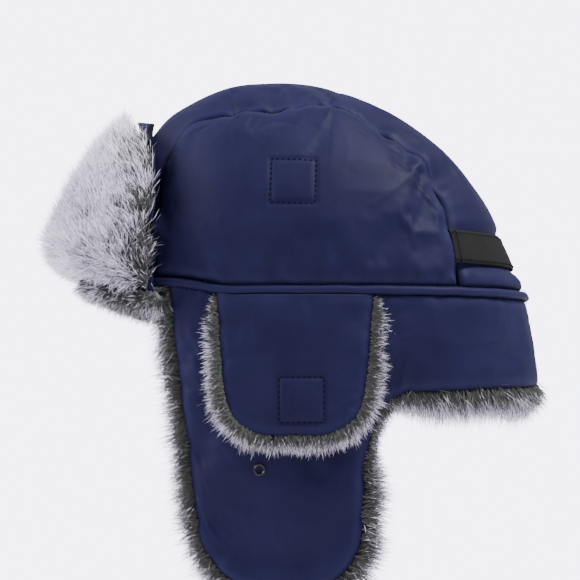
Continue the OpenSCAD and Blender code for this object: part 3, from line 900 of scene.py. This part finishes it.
def crown():
    crown_padding()
    swell = simulate(side_pattern(96, 130), edge_mask(96, 130), 0.06, 0.012, 4.0)
    for side_name, side in SIDES.items():
        grid = side_pattern(120, 190)
        push = upsample(swell, 120, 190)
        marks = [square_mark(CROWN_SQUARE, SQUARE)]
        cloth = Cloth(f"crown_side_cloth_{side_name}", grid, ALL_ROUND, side,
                      puff=2.2, pucker=0.6, seed=11 + side, marks=marks, wave=1.3, swell=push, pleat=3.4,
                      flat=1 - 0.45 * front_of_crown(grid))
        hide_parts(f"crown_side_{side_name}")
        ride_all("root", cloth.piece,
                 cloth.sew(f"crown_square_stitches_{side_name}",
                           square_path(CROWN_SQUARE, SQUARE, crown_y_z, turn=-0.05)))
    grid = top_pattern(230, 120)
    push = upsample(simulate(top_pattern(120, 66), edge_mask(120, 66), 0.06, 0.012, 4.0), 230, 120)
    top = Cloth("crown_top_cloth", grid, ALL_ROUND, 1, puff=2.4, groove=2.6,
                pucker=1.35, seed=31, flat=under_elastic(grid) * (1 - 0.5 * front_of_crown(grid)), marks=[cinch],
                wave=1.4, swell=push, inset=2.6, pleat=2.6)
    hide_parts("crown_top_panel")
    ride_all("root", top.piece)


def front_of_crown(grid):
    """1 on the crown's front, where the brim lies against it."""
    return smooth((-50 - grid[..., 1]) / 22) * smooth((112 - grid[..., 2]) / 14)


def edge_mask(rows, cols, wide=3):
    """1 on the outermost rows and columns of a grid, where the seams hold it."""
    mask = np.ones((rows, cols))
    mask[wide:-wide, wide:-wide] = 0
    return mask


def ride_all(body, *pieces):
    for piece in pieces:
        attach(piece, body)


def head_band():
    """The narrow band between the crown's two lower seams, rolled over its edges and puckered by the stitching."""
    count = 560
    t = np.linspace(0, 1, 15)[:, None]
    turn = circle(count)
    z = 0.1 + 5.3 * t + 0 * turn
    run = np.concatenate([np.cos(turn), np.sin(turn)]).T * 110.0
    ripple = noise(run, 5.5, 71) * 0.35 + noise(run, 17.0, 72) * 0.3
    bulge = (1 - np.abs(2 * t - 1) ** 2.6)
    off = 0.2 + (1.7 + ripple[None, :]) * bulge - 1.4 * (1 - bulge) ** 3
    front = crown_at(turn + 0 * t, z + 0.22 * noise(run, 9.0, 73)[None, :], -off)
    back = crown_at(turn + 0 * t, z, 2.4 + 0 * off)
    piece = solid("head_band_cloth", front, back, MATERIALS["nylon"], wrap=True)
    # painted highlight on the band's bulge
    store_painted_light(piece, 0.35 * bulge + 0 * z)
    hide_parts("head_band")
    ride_all("root", piece)
    for name, height, row_off in (("upper", BAND_HEIGHT + 0.55, 0.4), ("lower", -0.45, 0.2)):
        turns = np.linspace(0, 2 * math.pi, 1600)
        path = crown_at(turns, max(height, 0.0) + 0 * turns, -row_off) + [0, 0, min(height, 0)]
        out = unit(path * [1, 1, 0])
        ride_all("root", stitches(f"band_stitches_{name}", path, out, MATERIALS["thread"],
                                  pitch=2.9, radius=0.24, proud=0.1))


def goggle_elastic():
    """A strip of elastic over the back seam, held at its ends, with a row of stitches near each edge."""
    rows, cols = 22, 360
    t = np.linspace(0, 1, rows)[:, None]
    z = mix(ELASTIC[0], ELASTIC[1], t)
    start = turn_at(seam_back(z) - 1.5, z, -1.7)
    share = np.linspace(0, 1, cols)[None]
    turn = mix(start, math.pi - start, share)
    from_end = np.minimum(share, 1 - share)
    lift = 0.6 + 0.6 * smooth(from_end * 26) - CINCH * smooth(from_end * 7)
    lift = lift + 0.3 * noise(np.stack([turn * 100, z + 0 * turn], -1), (26, 14), 81)
    edge = np.abs(2 * t - 1)
    lift = lift - 0.5 * smooth((edge - 0.82) / 0.18) + 0.22 * bell(edge - 0.72, 0.05)
    front = crown_at(turn, z + 0 * turn, -lift)
    back = crown_at(turn, z + 0 * turn, -lift + 1.15)
    piece = solid("goggle_elastic_woven", front, back, MATERIALS["twill"])
    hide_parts("goggle_elastic")
    ride_all("root", piece)
    normals = normals_of(front)
    for name, row in (("low", 2), ("high", rows - 3)):
        ride_all("root", stitches(f"elastic_stitches_{name}", front[row], normals[row], MATERIALS["thread"],
                                  pitch=2.6, radius=0.26, proud=0.24))
    for name, col in (("left", 7), ("right", cols - 8)):
        ride_all("root", stitches(f"elastic_end_stitches_{name}", front[:, col], normals[:, col],
                                  MATERIALS["thread"], pitch=2.2, radius=0.3, proud=0.25))


def crown_inside(rng):
    """The fur lining of the crown: a skin on the wadding's inner side with strands that point at the head."""
    rows, cols = 60, 150
    rise = np.sin(np.linspace(0.004, math.radians(87.5), rows))[:, None]
    turn = circle(cols)
    d = LINING_OUT + 0.5

    def dome(depth):
        return crown_at(turn + 0 * rise, (HEIGHT - depth) * rise + 0 * turn, depth)
    outer, inner = dome(d), dome(d + 2.2 + 0.6 * noise(dome(d), 9.0, 91))
    piece = solid("crown_fur_skin", outer, inner, MATERIALS["skin"], wrap=True)
    roots, out, up, _ = scatter(inner, CROWN_STRANDS, rng, wrap=True)
    lay = unit(-up + 0.5 * rng.normal(0, 1, roots.shape)) * 0.6
    strands = fur("crown_fur", roots, -out, lay, 9.0, 0.62, rng, width=0.75, clump=8)
    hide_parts("crown_lining")
    ride_all("root", piece, *strands)


# ---------------------------------------------------------------- curtain: the nape and an ear flap in one panel
TURNS = np.linspace(-math.pi / 2 + 1e-4, math.pi / 2, 2400)
ARC = run_of(nape_at(TURNS, 0.0, 0.0))


def turn_of(y, z):
    share = np.clip(np.abs(y) / curtain_len(z, y > 0), 0, 1)
    return np.sign(y) * np.arcsin(power(share, PLAN_N / 2))


def arc_of(y, z):
    return np.interp(turn_of(y, z), TURNS, ARC)


def flap_front_y(z):
    return -FLAP_FRONT - 0.137 * z


def flap_back_y(z):
    y = 26 + 26 / (1 + power((-z - 50) / 14, 1.6)) - np.where(z > -50, 2, 0)
    return np.minimum(y, FLAP_SPLIT)


def hem():
    """The curtain's lower edge as arc and height, from the flap's front edge round its end and along the nape."""
    steps = np.linspace(0, 1, 90)
    z_end = -ROUND_START - (FLAP_DROP - ROUND_START) * np.sin(steps * math.pi / 2)
    half = (flap_back_y(z_end) - flap_front_y(z_end)) / 2
    mid = (flap_back_y(z_end) + flap_front_y(z_end)) / 2
    shrink = power(1 - power((-z_end - ROUND_START) / (FLAP_DROP - ROUND_START + 1), 2.2), 1 / 2.2)
    front = np.stack([mid - half * shrink, z_end], -1)
    back = np.stack([mid + half * shrink, z_end], -1)[::-1]
    z_up = np.linspace(-ROUND_START, -56.0, 80)[1:]
    up = np.stack([flap_back_y(z_up), z_up], -1)
    line = np.concatenate([front, back, up])
    line = np.stack([arc_of(line[:, 0], line[:, 1]), line[:, 1]], -1)
    q = np.linspace(np.interp(turn_of(FLAP_SPLIT, -50.0), TURNS, ARC) + 3, ARC[-1], 100)
    share = (q - q[0]) / (q[-1] - q[0])
    line = np.concatenate([line, np.stack([q, -mix(SIDE_DROP, NAPE_DROP, share)], -1)])
    run = run_of(line)
    for _ in range(2):
        line[1:-1] = (line[:-2] + 2 * line[1:-1] + line[2:]) / 4
    return line, run / run[-1]


HEM, HEM_RUN = hem()
HEM_CORNER, HEM_NAPE = 179, 258
UNDER_BAND = 1.5


def curtain_pattern(rows, cols, d=0.0, extra=0.0):
    """A ruled pattern from the hem, moved out by extra, up to the band. Rows go up and columns go front to back."""
    t = np.linspace(0, 1, cols)
    low = sample(t, HEM_RUN, HEM)
    along = unit(np.gradient(low, axis=0))
    away = np.stack([along[:, 1], -along[:, 0]], -1)
    low = low + away * extra
    low[-1, 0] = ARC[-1]
    first = arc_of(-FLAP_FRONT, 0.0) - extra
    top = np.interp(t, [0, HEM_RUN[HEM_CORNER], HEM_RUN[HEM_NAPE], 1],
                    [first, arc_of(20.0, 0.0), arc_of(52.0, 0.0), ARC[-1]])
    rise = np.linspace(0, 1, rows)[:, None] + 0 * t[None]
    q = mix(low[None, :, 0], top[None], rise)
    z = mix(low[None, :, 1], UNDER_BAND, rise)
    return nape_at(np.interp(q, ARC, TURNS), z, d)


def fold_with_flap(piece):
    """Bakes the piece's transform into its mesh; a flap's fold, on a slanting line from the band's front to the
    flap's back corner, is not made here.
    """
    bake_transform(piece)


def in_hatch(grid, margin=4.0):
    """1 under the closed hatch, where the flap's cloth stays flat, 0 away from it."""
    y, z = grid[..., 1] - HATCH_Y, grid[..., 2]
    across = smooth((hatch_half(np.clip(z, -HATCH_DROP, 0)) + margin - np.abs(y)) / margin)
    return across * smooth((z + HATCH_DROP + margin) / margin) * (grid[..., 0] > 0)


def hatch_half(z):
    return (HATCH_HALF + 0.085 * z) * power(1 - power(-z / (HATCH_DROP + 0.5), 8), 0.4)


def rim_fur(name, path, normals, count, rng, length, depth, side, frost=0.32, tuck=2.0, fan=0.3, width=0.55,
            droop=0.2):
    """Fur that stands out from under the edge of a cloth, dark next to the cloth and pale behind.
    The path goes round with the cloth on its left; length is one number or one for each point of the path."""
    run = run_of(path)
    along = unit(np.gradient(path, axis=0))
    away = unit(np.cross(along, normals))
    s = np.sort(rng.random(count)) * run[-1]

    n, out, t = (unit(sample(s, run, a)) for a in (normals, away, along))
    reach_at = np.interp(s, run, length * np.ones(len(path)))
    share = rng.random((count, 1))
    deep = mix(*depth, share)
    roots = sample(s, run, path) - n * deep - out * rng.uniform(-0.4, tuck, (count, 1))
    stand = unit(out + n * (fan * rng.normal(0, 1, (count, 1)) + 0.35 - 0.7 * share)
                 + 0.3 * t * rng.normal(0, 1, (count, 1)))
    lay = 0.5 * t * noise(roots, 13.0, 5)[:, None] + [0, 0, -droop] + 0.2 * out
    pale = frost + 0.7 * (share[:, 0] - 0.5) + 0.12 * noise(roots, 7.0, 6)
    reach_at = reach_at * (0.62 + 0.48 * share[:, 0] ** 0.7) * (1 + 0.12 * noise(roots, 11.0, 7))
    return fur(name, roots, stand, lay, reach_at, pale, rng, width=width, clump=4.0, side=side, uneven=0.28)


def round_the_edge(grid, last=False):
    """The edge of a panel from the top of its front edge, down, along the hem, and up its back edge if last."""
    normals = normals_of(grid)
    inner_row, inner_col = grid.shape[0] // 8, grid.shape[1] // 20
    parts = [(grid[::-1, 0], normals[::-1, inner_col]), (grid[0, 1:], normals[inner_row, 1:])]
    if last:
        parts.append((grid[1:, -1], normals[1:, -inner_col]))
    path, normal = (np.concatenate(a) for a in zip(*parts))
    return path, normal


def curtain(rng):
    rows, cols, grow = 120, 230, 2.6
    grid = curtain_pattern(rows, cols, 0.0, grow)
    coarse = curtain_pattern(96, 170, 0.0, grow)
    mask = np.maximum(edge_mask(96, 170, 2), in_hatch(coarse) > 0.5)
    push = upsample(simulate(coarse, mask, 0.05, 0.010, 3.5), rows, cols)
    for side_name, side in SIDES.items():
        flat = 1 - 0.93 * in_hatch(grid)
        cloth = Cloth(f"curtain_cloth_{side_name}", grid, ALL_ROUND, side, puff=2.4,
                      groove=1.9, pucker=0.6, seed=41 + side, flat=flat, wave=1.9, swell=push, pleat=2.8)
        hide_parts("nape_shell", f"ear_flap_shell_{side_name}")
        pad_grid = curtain_pattern(50, 120, PAD_OUT, -1.5)
        ruffle = 0.5 * noise(pad_grid, 12.0, 44)[..., None] * normals_of(pad_grid)
        pad = solid(f"curtain_wadding_{side_name}", pad_grid + ruffle, curtain_pattern(50, 120, PAD_IN, -4.5),
                    MATERIALS["fill"], side)
        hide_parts("nape_wadding", f"ear_flap_wadding_{side_name}")
        skin_out = curtain_pattern(60, 150, LINING_OUT + 0.4, 0.6)
        skin_in = curtain_pattern(60, 150, LINING_OUT + 2.6, 0.6)
        skin_in = skin_in - normals_of(skin_in) * noise(skin_in, 9.0, 45)[..., None] * 0.8
        skin = solid(f"curtain_fur_skin_{side_name}", skin_out, skin_in, MATERIALS["skin"], side)
        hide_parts("nape_lining", f"ear_flap_lining_{side_name}")
        roots, out, up, _ = scatter(skin_in, LINING_STRANDS, rng)
        lay = unit(-up + 0.45 * rng.normal(0, 1, roots.shape)) * 0.75
        inner = fur(f"curtain_fur_{side_name}", roots, -out, lay, 9.5, 0.6 + 0.2 * noise(roots, 10.0, 46), rng,
                    width=0.72, clump=7, side=side)
        path, normals = round_the_edge(curtain_pattern(80, 260, 1.2, grow - 0.6))
        corner = bell(path[:, 1] - 40, 20) * smooth((110 + path[:, 2]) / 25)
        rim = rim_fur(f"curtain_rim_fur_{side_name}", path, normals, RIM_STRANDS, rng, 16.5 * (1 - 0.5 * corner),
                      (0.8, 13.0), side, width=0.42)
        for piece in (cloth.piece, pad, skin, *inner, *rim):
            fold_with_flap(piece)
        sound_port(side_name, side)


# ---------------------------------------------------------------- sound port, hatch and stud of each flap
def sound_port(side_name, side):
    y0, z0, r0 = PORT
    turn = circle(72)

    def ring(r, lift):
        return curtain_at(y0 + r * np.cos(turn), z0 + r * np.sin(turn), -lift)
    r = np.linspace(r0, 0.4, 16)[:, None]
    mesh = solid(f"sound_port_mesh_{side_name}", ring(r, 0.5 + 0 * r), ring(r, 0.15 + 0 * r), MATERIALS["mesh"],
                 side, wrap=True)
    t = np.linspace(0, 1, 11)[:, None]
    bulge = 0.25 + 0.5 * np.sqrt(np.maximum(1 - (2 * t - 1) ** 2, 0)) + 0.05 * np.cos(turn * 48)
    r = r0 + 3.2 - 3.6 * t
    binding = solid(f"sound_port_binding_{side_name}", ring(r, bulge), ring(r, 0.08 + 0 * bulge),
                    MATERIALS["nylon"], side, wrap=True)
    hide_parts(f"ear_port_mesh_{side_name}")
    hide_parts(f"ear_port_binding_{side_name}")
    fold_with_flap(mesh)
    fold_with_flap(binding)


def hatch_off(z):
    return 1.6 + 7.0 * np.minimum(power(-z / 60, 1.1), 1.1)


def hatch_pattern(rows, cols, off, extra=0.0, top=1.0):
    """The hatch off the flap by off(z), wider by extra at its free edges. Rows go up, columns front to back."""
    rise = np.linspace(0, 1, rows)[:, None]
    z = -mix(HATCH_DROP, top, 1 - np.cos(rise * math.pi / 2))
    half = hatch_half(z) + extra * np.minimum(-z / 12, 1)
    y = HATCH_Y + half * np.linspace(-1, 1, cols)[None]
    low = z * (1 + extra / HATCH_DROP) + 0 * y
    base = curtain_at(y, low, 0.0)
    return base + normals_of(base) * (off(z) + 0 * y)[..., None]


def hatch(side_name, side, push, rng):
    rows, cols = 100, 110
    grid = hatch_pattern(rows, cols, hatch_off, top=-0.4)
    marks = [square_mark(HATCH_SQUARE, SQUARE, disc=0.35)]
    cloth = Cloth(f"hatch_cloth_{side_name}", grid, ("low", "first", "last"), side, puff=1.7, groove=1.3,
                  pucker=0.3, seed=61 + side, wave=0.6, marks=marks, swell=push)
    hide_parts(f"hatch_shell_{side_name}")

    def surface(y, z):
        return curtain_at(y, z, -hatch_off(z))
    square = cloth.sew(f"hatch_square_stitches_{side_name}", square_path(HATCH_SQUARE, SQUARE, surface))
    outer = hatch_pattern(50, 70, lambda z: 0.55 * hatch_off(z) - 0.2, -3.4, 14.0)
    inner = hatch_pattern(50, 70, lambda z: 0.15 * hatch_off(z) + 0.5, -3.4, 14.0)
    skin = solid(f"hatch_fur_skin_{side_name}", outer, inner, MATERIALS["skin"], side)
    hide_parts(f"hatch_lining_{side_name}")
    edge = hatch_pattern(80, 110, lambda z: hatch_off(z) - 0.9, -0.4, 2.0)
    path, normals = round_the_edge(edge, last=True)
    lengths = 9.6 * mix(0.45, 1.0, smooth(-path[:, 2] / 16))
    rim = rim_fur(f"hatch_rim_fur_{side_name}", path, normals, HATCH_RIM_STRANDS, rng, lengths, (0.0, 5.0), side,
                  frost=0.24, fan=0.22, tuck=1.6, droop=0.1, width=0.4)
    roots, out, up, along = scatter(inner[:30], 2600, rng)
    lay = unit(-up + 0.6 * along * rng.normal(0, 1, (len(roots), 1)))
    short = fur(f"hatch_fur_{side_name}", roots, -0.35 * out + 0.9 * lay, 0.1 * lay, 4.0, 0.6, rng, width=0.5,
                side=side, clump=6, gather=0.1, curl=0.2)
    roots, out, up, along = scatter(inner[29:], 3200, rng)
    lay = unit(up * rng.normal(0, 1, (len(roots), 1)) + along * rng.normal(0, 1, (len(roots), 1)))
    short += fur(f"hatch_low_fur_{side_name}", roots, -0.15 * out + 0.95 * lay, 0.1 * lay, 3.2, 0.5, rng, width=0.5,
                 side=side, clump=6, gather=0.1, curl=0.2)
    for piece in (cloth.piece, square, skin, *rim, *short):
        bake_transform(piece)


def lathe(name, profile, centre, material, side):
    """A turned piece whose axis is X, from (radius, height) points on its outline."""
    profile, count = np.asarray(profile, float), 64
    turn = circle(count)
    r, h = profile[:, 0][:, None], profile[:, 1][:, None]
    p = np.stack([h + 0 * turn, r * np.cos(turn), r * np.sin(turn)], -1) + centre
    faces = [strip_faces(len(profile), count, wrap=True)]
    faces.append(np.arange(count)[None, ::-1])
    faces.append((len(profile) - 1) * count + np.arange(count)[None])
    if side < 0:
        faces = [f[:, ::-1] for f in faces]
    return make_piece(name, p.reshape(-1, 3) * [side, 1, 1], faces, material)


def bead(r0, r1, h0, h1, steps=6):
    """A quarter round from (r0, h0) to (r1, h1)."""
    a = np.linspace(0, math.pi / 2, steps)
    return [(r0 + (r1 - r0) * (1 - math.cos(t)), h0 + (h1 - h0) * math.sin(t)) for t in a]


def press_stud(side_name, side):
    """The post of a press stud with a rolled flange, a waisted stud and a dimple, as the mask's socket clicks on."""
    x = float(curtain_at(STUD[1], STUD[2], 0.0)[0]) + 0.9
    flange = [(5.3, -0.9), (5.75, -0.5), *bead(5.8, 5.1, 0.1, 0.95), *bead(5.1, 4.1, 0.95, 0.55)]
    post = [(3.35, 0.5), (2.95, 0.8), (2.85, 1.3), (3.05, 1.7), (3.4, 2.1), (3.4, 2.4)]
    crown_bead = [*bead(3.4, 2.9, 2.4, 2.85), *bead(2.6, 2.2, 2.8, 2.3), (2.0, 1.3), (1.6, 1.15), (0.25, 1.1)]
    stud = lathe(f"press_stud_{side_name}", flange + post + crown_bead, [x, STUD[1], STUD[2]], MATERIALS["stud"],
                 side)
    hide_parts(f"mask_stud_{side_name}")
    ride_all(f"ear_flap_{side_name}", stud)


def hatches_and_studs(rng):
    push = upsample(simulate(hatch_pattern(80, 88, hatch_off), edge_mask(80, 88), 0.05, 0.010, 2.0), 100, 110)
    for side_name, side in SIDES.items():
        hatch(side_name, side, push, rng)
        press_stud(side_name, side)


# ---------------------------------------------------------------- brim
BRIM_TOP = 108.0
BRIM_SIDE = 91.0
BRIM_STAND = 4.0
BRIM_CORNER = 22.0
BRIM_FUR = (17.0, 1.5)      # thickness of the fur at the hem and at the top
BRIM_GAP = 1.5
BRIM_PAD = 4.0
BRIM_PAD_OFF = BRIM_GAP + CLOTH + 0.3
BRIM_FUR_OFF = BRIM_PAD_OFF + BRIM_PAD + 1.0


def brim_pattern(share, rise, base, thick, low_front):
    """A layer of the brim: share goes from the right end round the front to the left end, rise from hem to top."""
    share, rise, thick = np.broadcast_arrays(share, rise, thick)
    bow = np.maximum(np.sin(math.pi * np.clip(share, 0, 1)), 0.0)
    high = BRIM_TOP - BRIM_CORNER * (1 - np.sqrt(bow))
    z = mix(mix(1.0, low_front, bow), high, rise)
    off = base + BRIM_STAND * z / BRIM_TOP + thick * mix(0.5, 1, bow)
    end = turn_at(-BRIM_SIDE + 0 * z, z, -off)
    return crown_at(mix(-math.pi - end, end, share), z, -off)


def rounded(share, rise, share_n, rise_n):
    """1 inside a layer of the brim, falling to 0 at its edges."""
    return power(1 - power(np.abs(2 * share - 1), share_n), 0.5) * power(1 - power(np.abs(2 * rise - 1), rise_n), 0.5)


def brim_backing():
    share = np.linspace(-0.012, 1.012, 260)[None]
    rise = np.linspace(-0.07, 1.0, 90)[:, None]
    ends = smooth((0.03 - np.minimum(share, 1 - share)) / 0.03)
    tops = smooth((rise - 0.965) / 0.035)
    roll = np.maximum(ends, tops) * (BRIM_PAD + 1.6)
    at_seam = smooth(-rise / 0.07)
    back_base = BRIM_GAP - 1.2 * at_seam
    back = brim_pattern(share, rise, back_base, 0 * share, 8.0)
    rough = 0.5 * noise(back, (22, 22, 22), 51) + 0.35 * noise(back, 7.0, 52) * np.maximum(ends, tops)
    front = brim_pattern(share, rise, back_base + CLOTH + roll + rough * np.maximum(ends, tops), 0 * share, 8.0)
    cloth = solid("brim_backing_cloth", front, back, MATERIALS["nylon"])
    # painted highlight on the rolled ends and top edge
    store_painted_light(cloth, np.maximum(ends, tops) * 0.5)
    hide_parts("brim_backing")
    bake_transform(cloth)


def brim_wadding():
    share = np.linspace(0.035, 0.965, 120)[None]
    rise = np.linspace(0.03, 0.92, 40)[:, None]
    rounding = rounded(share, rise, 12, 6)
    inner = brim_pattern(share, rise, BRIM_PAD_OFF + 0.5, 0 * share, 9.0)
    outer = brim_pattern(share, rise, BRIM_PAD_OFF + 1.1, (BRIM_PAD - 1.6) * rounding, 9.0)
    pad = solid("brim_wadding_pad", outer, inner, MATERIALS["fill"])
    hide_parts("brim_wadding")
    ride_all("brim", pad)


def brim_fur(rng):
    share = np.linspace(0.004, 0.996, 230)[None]
    rise = np.linspace(0.0, 0.94, 80)[:, None]
    rounding = rounded(share, rise, 16, 9)
    under = brim_pattern(share, rise, BRIM_FUR_OFF - 0.6, 0 * share, 14.0)
    thick = mix(*BRIM_FUR, rise) * rounding
    face = brim_pattern(share, rise, BRIM_FUR_OFF + 0.3, thick, mix(14.0, 24.0, rounding))
    lump = 1.6 * noise(face, (26, 24, 22), 53) + 0.8 * noise(face, 9.0, 54)
    face = face + normals_of(face) * (lump * rounding)[..., None]
    skin = solid("brim_fur_skin", face, under, MATERIALS["skin"])
    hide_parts("brim_fur")
    ride_all("brim", skin)
    for name, part in (("right", slice(0, 116)), ("left", slice(115, 230))):
        patch = face[:, part]
        roots, out, up, along = scatter(patch, BRIM_STRANDS, rng)
        swirl = noise(roots, 24.0, 55)[:, None]
        lay = unit(up * 0.8 + along * 1.1 * swirl + 0.35 * rng.normal(0, 1, roots.shape))
        ends_dark = smooth((roots[:, 1] + 125) / 45)
        frost = mix(0.94, 0.08, ends_dark) + 0.46 * noise(roots, 5.5, 56) + 0.18 * noise(roots, 22.0, 57)
        stand = unit(out + 0.45 * lay)
        strands = fur(f"brim_fur_{name}", roots, stand, lay * 0.9, 9.3, frost, rng, width=0.46, clump=3.6,
                      gather=0.8, uneven=0.28)
        ride_all("brim", *strands)


def forehead_fold(rng):
    """The lining's fur where it turns over the hat's front edge and up into the brim."""
    turn = np.linspace(math.pi + 0.62, 2 * math.pi - 0.62, 170)[None]
    bow = np.sin((turn - turn[0, 0]) / (turn[0, -1] - turn[0, 0]) * math.pi) ** 0.5
    swing = np.linspace(0.0, 1.0, 20)[:, None] * math.pi * 1.05
    out = 8.0 - 12.5 * (1 - np.cos(swing)) / 2
    drop = mix(-4.0, 8.0, bow**4) - 4.0 * np.sin(swing)
    outer = (crown_at(turn, 0.0 * swing, -out) + drop[..., None] * [0, 0, 1])[::-1]
    inner = outer - normals_of(outer) * 2.2
    skin = solid("forehead_fur_skin", outer, inner, MATERIALS["skin"])
    roots, n, up, _ = scatter(outer, FOREHEAD_STRANDS, rng)
    low = roots[:, 2] < 4
    roots, n, up = roots[low], n[low], up[low]
    lay = unit(up * 0.5 + 0.6 * rng.normal(0, 1, roots.shape))
    # the frost falls from 0.5 in front to 0.1 towards the temples: painted shade of the gap under the brim, put into
    # the fur's colour
    strands = fur("forehead_fur", roots, n + 0.3 * lay, 0.5 * lay, 8.0,
                  mix(0.5, 0.1, smooth((roots[:, 1] + 135) / 30)) + 0.3 * noise(roots, 7.0, 58), rng,
                  width=0.44, clump=4.5)
    ride_all("root", skin, *strands)


# ---------------------------------------------------------------- chin straps
STRAP_Y = -18.0
WEBBING = (20.0, 1.6)
STRAP_END = -220.0


def chin_straps():
    """Webbing sewn into each flap's end, running down to its half of the buckle."""
    strap_x = HALF_WIDTH - LEAN * FLAP_DROP - 8
    for side_name, side in SIDES.items():
        z = np.linspace(STRAP_END - 1.5, -156.0, 90)[:, None]
        across = np.linspace(-1, 1, 25)[None]
        edge = 1 - np.abs(across) ** 8
        ribs = 0.09 * np.sin(across * math.pi * 9) * np.ones_like(z) + 0.05 * np.sin(z * 2 * math.pi / 1.5)
        x = strap_x + 0 * z + 0.35 * np.sin(z * 0.11)
        half_t = WEBBING[1] / 2 * (0.55 + 0.45 * edge) + ribs * edge
        y = STRAP_Y + WEBBING[0] / 2 * across + 0.12 * np.sin(z * 0.7)
        front = np.stack([x + half_t, y, z + 0 * y], -1)
        back = np.stack([x - half_t, y, z + 0 * y], -1)
        strap = solid(f"chin_strap_webbing_{side_name}", front, back, MATERIALS["webbing"], side)
        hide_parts(f"chin_webbing_{side_name}")
        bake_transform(strap)
        for level_z in (STRAP_END + 9.0, STRAP_END + 11.5):
            width = np.linspace(-8.5, 8.5, 60)
            path = np.stack([strap_x + 0.9 + 0 * width, STRAP_Y + width, level_z + 0 * width], -1)
            rows = stitches(f"strap_stitches_{side_name}_{int(-level_z * 10)}", path, path * 0 + [1, 0, 0],
                            MATERIALS["thread"], pitch=2.4, radius=0.28, side=side)
            ride_all(f"chin_strap_{side_name}", rows)


# ---------------------------------------------------------------- CAD parts that show as they are
def finish_cad_part(node, material, rounding=0.0):
    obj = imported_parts[node]
    obj.data.materials.clear()
    obj.data.materials.append(material)
    if rounding:
        bevel = obj.modifiers.new("Rounded", "BEVEL")
        bevel.width = rounding * MM
        bevel.segments = 2
        bevel.limit_method = "ANGLE"
        bevel.angle_limit = math.radians(50)
        bevel.harden_normals = True


def cad_parts():
    for side_name in SIDES:
        for node, material in (("stud_washer", "steel"), ("crown_magnet", "magnet"), ("hatch_magnet", "magnet")):
            finish_cad_part(f"{node}_{side_name}", MATERIALS[material])
    for node, rounding in (("buckle_socket", 0.5), ("buckle_plug", 0.4), ("strap_slider", 0.5)):
        finish_cad_part(node, MATERIALS["plastic"], rounding)


# ---------------------------------------------------------------- camera, light and floor
LENS = 155.0
AZIMUTH, ELEVATION, DISTANCE = math.radians(90.0), math.radians(-3.0), 1.5
TARGET = Vector((0, -0.0114, 0.0078))


def camera():
    """Level with the left ear and looking a little up at it."""
    data = bpy.data.cameras.new("camera")
    data.lens, data.sensor_width = LENS, 36.0
    cam = bpy.data.objects.new("camera", data)
    back = Vector((math.sin(AZIMUTH) * math.cos(ELEVATION), -math.cos(AZIMUTH) * math.cos(ELEVATION),
                   math.sin(ELEVATION)))
    cam.location = TARGET + back * DISTANCE
    cam.rotation_mode = "QUATERNION"
    cam.rotation_quaternion = back.to_track_quat("Z", "Y")
    bpy.context.scene.collection.objects.link(cam)
    bpy.context.scene.camera = cam


def area_light(name, at, size, watts):
    data = bpy.data.lights.new(name, "AREA")
    data.energy, data.size = watts, size
    light = bpy.data.objects.new(name, data)
    light.location = at
    light.rotation_mode = "QUATERNION"
    light.rotation_quaternion = Vector(at).to_track_quat("Z", "Y")
    bpy.context.scene.collection.objects.link(light)


def studio():
    """A bright backdrop that lights the hat more softly than it looks, two lamps and a round pale floor."""
    world = bpy.data.worlds.new("studio")
    world.use_nodes = True
    tree = world.node_tree
    seen, light = tree.nodes["Background"], tree.nodes.new("ShaderNodeBackground")
    seen.inputs["Color"].default_value = (0.8, 0.79, 0.96, 1)
    seen.inputs["Strength"].default_value = 7.2
    light.inputs["Color"].default_value = (0.97, 0.97, 1.0, 1)
    light.inputs["Strength"].default_value = 0.72
    either, path = tree.nodes.new("ShaderNodeMixShader"), tree.nodes.new("ShaderNodeLightPath")
    tree.links.new(path.outputs["Is Camera Ray"], either.inputs[0])
    tree.links.new(light.outputs[0], either.inputs[1])
    tree.links.new(seen.outputs[0], either.inputs[2])
    tree.links.new(either.outputs[0], tree.nodes["World Output"].inputs["Surface"])
    bpy.context.scene.world = world
    area_light("key", (0.4, 0.9, 1.45), 0.6, 77)
    area_light("front_fill", (0.2, -1.55, 0.8), 1.0, 62)
    g = Graph("floor_paper", (0.86, 0.86, 0.88), 0.9)
    grain = g.noise(g.place(), 30.0, 3.0)
    g.colour(g.blend(grain, (0.85, 0.85, 0.87), (0.88, 0.88, 0.9)))
    radius, low, count = 1250.0, CAD_BOX[0][2] / MM - 6, 96
    turn = circle(count)
    r = np.linspace(1.0, radius, 8)[:, None]
    disc = np.stack([r * np.cos(turn), r * np.sin(turn), low + 0 * r * turn], -1)
    floor = make_piece("floor", disc, [strip_faces(8, count, wrap=True)], g.bump(grain, 0.05, 0.001))


# ---------------------------------------------------------------- the hat
camera()
studio()
draw = np.random.default_rng(96)
crown()
head_band()
goggle_elastic()
crown_inside(draw)
curtain(draw)
hatches_and_studs(draw)
brim_backing()
brim_wadding()
brim_fur(draw)
forehead_fold(draw)
chin_straps()
cad_parts()
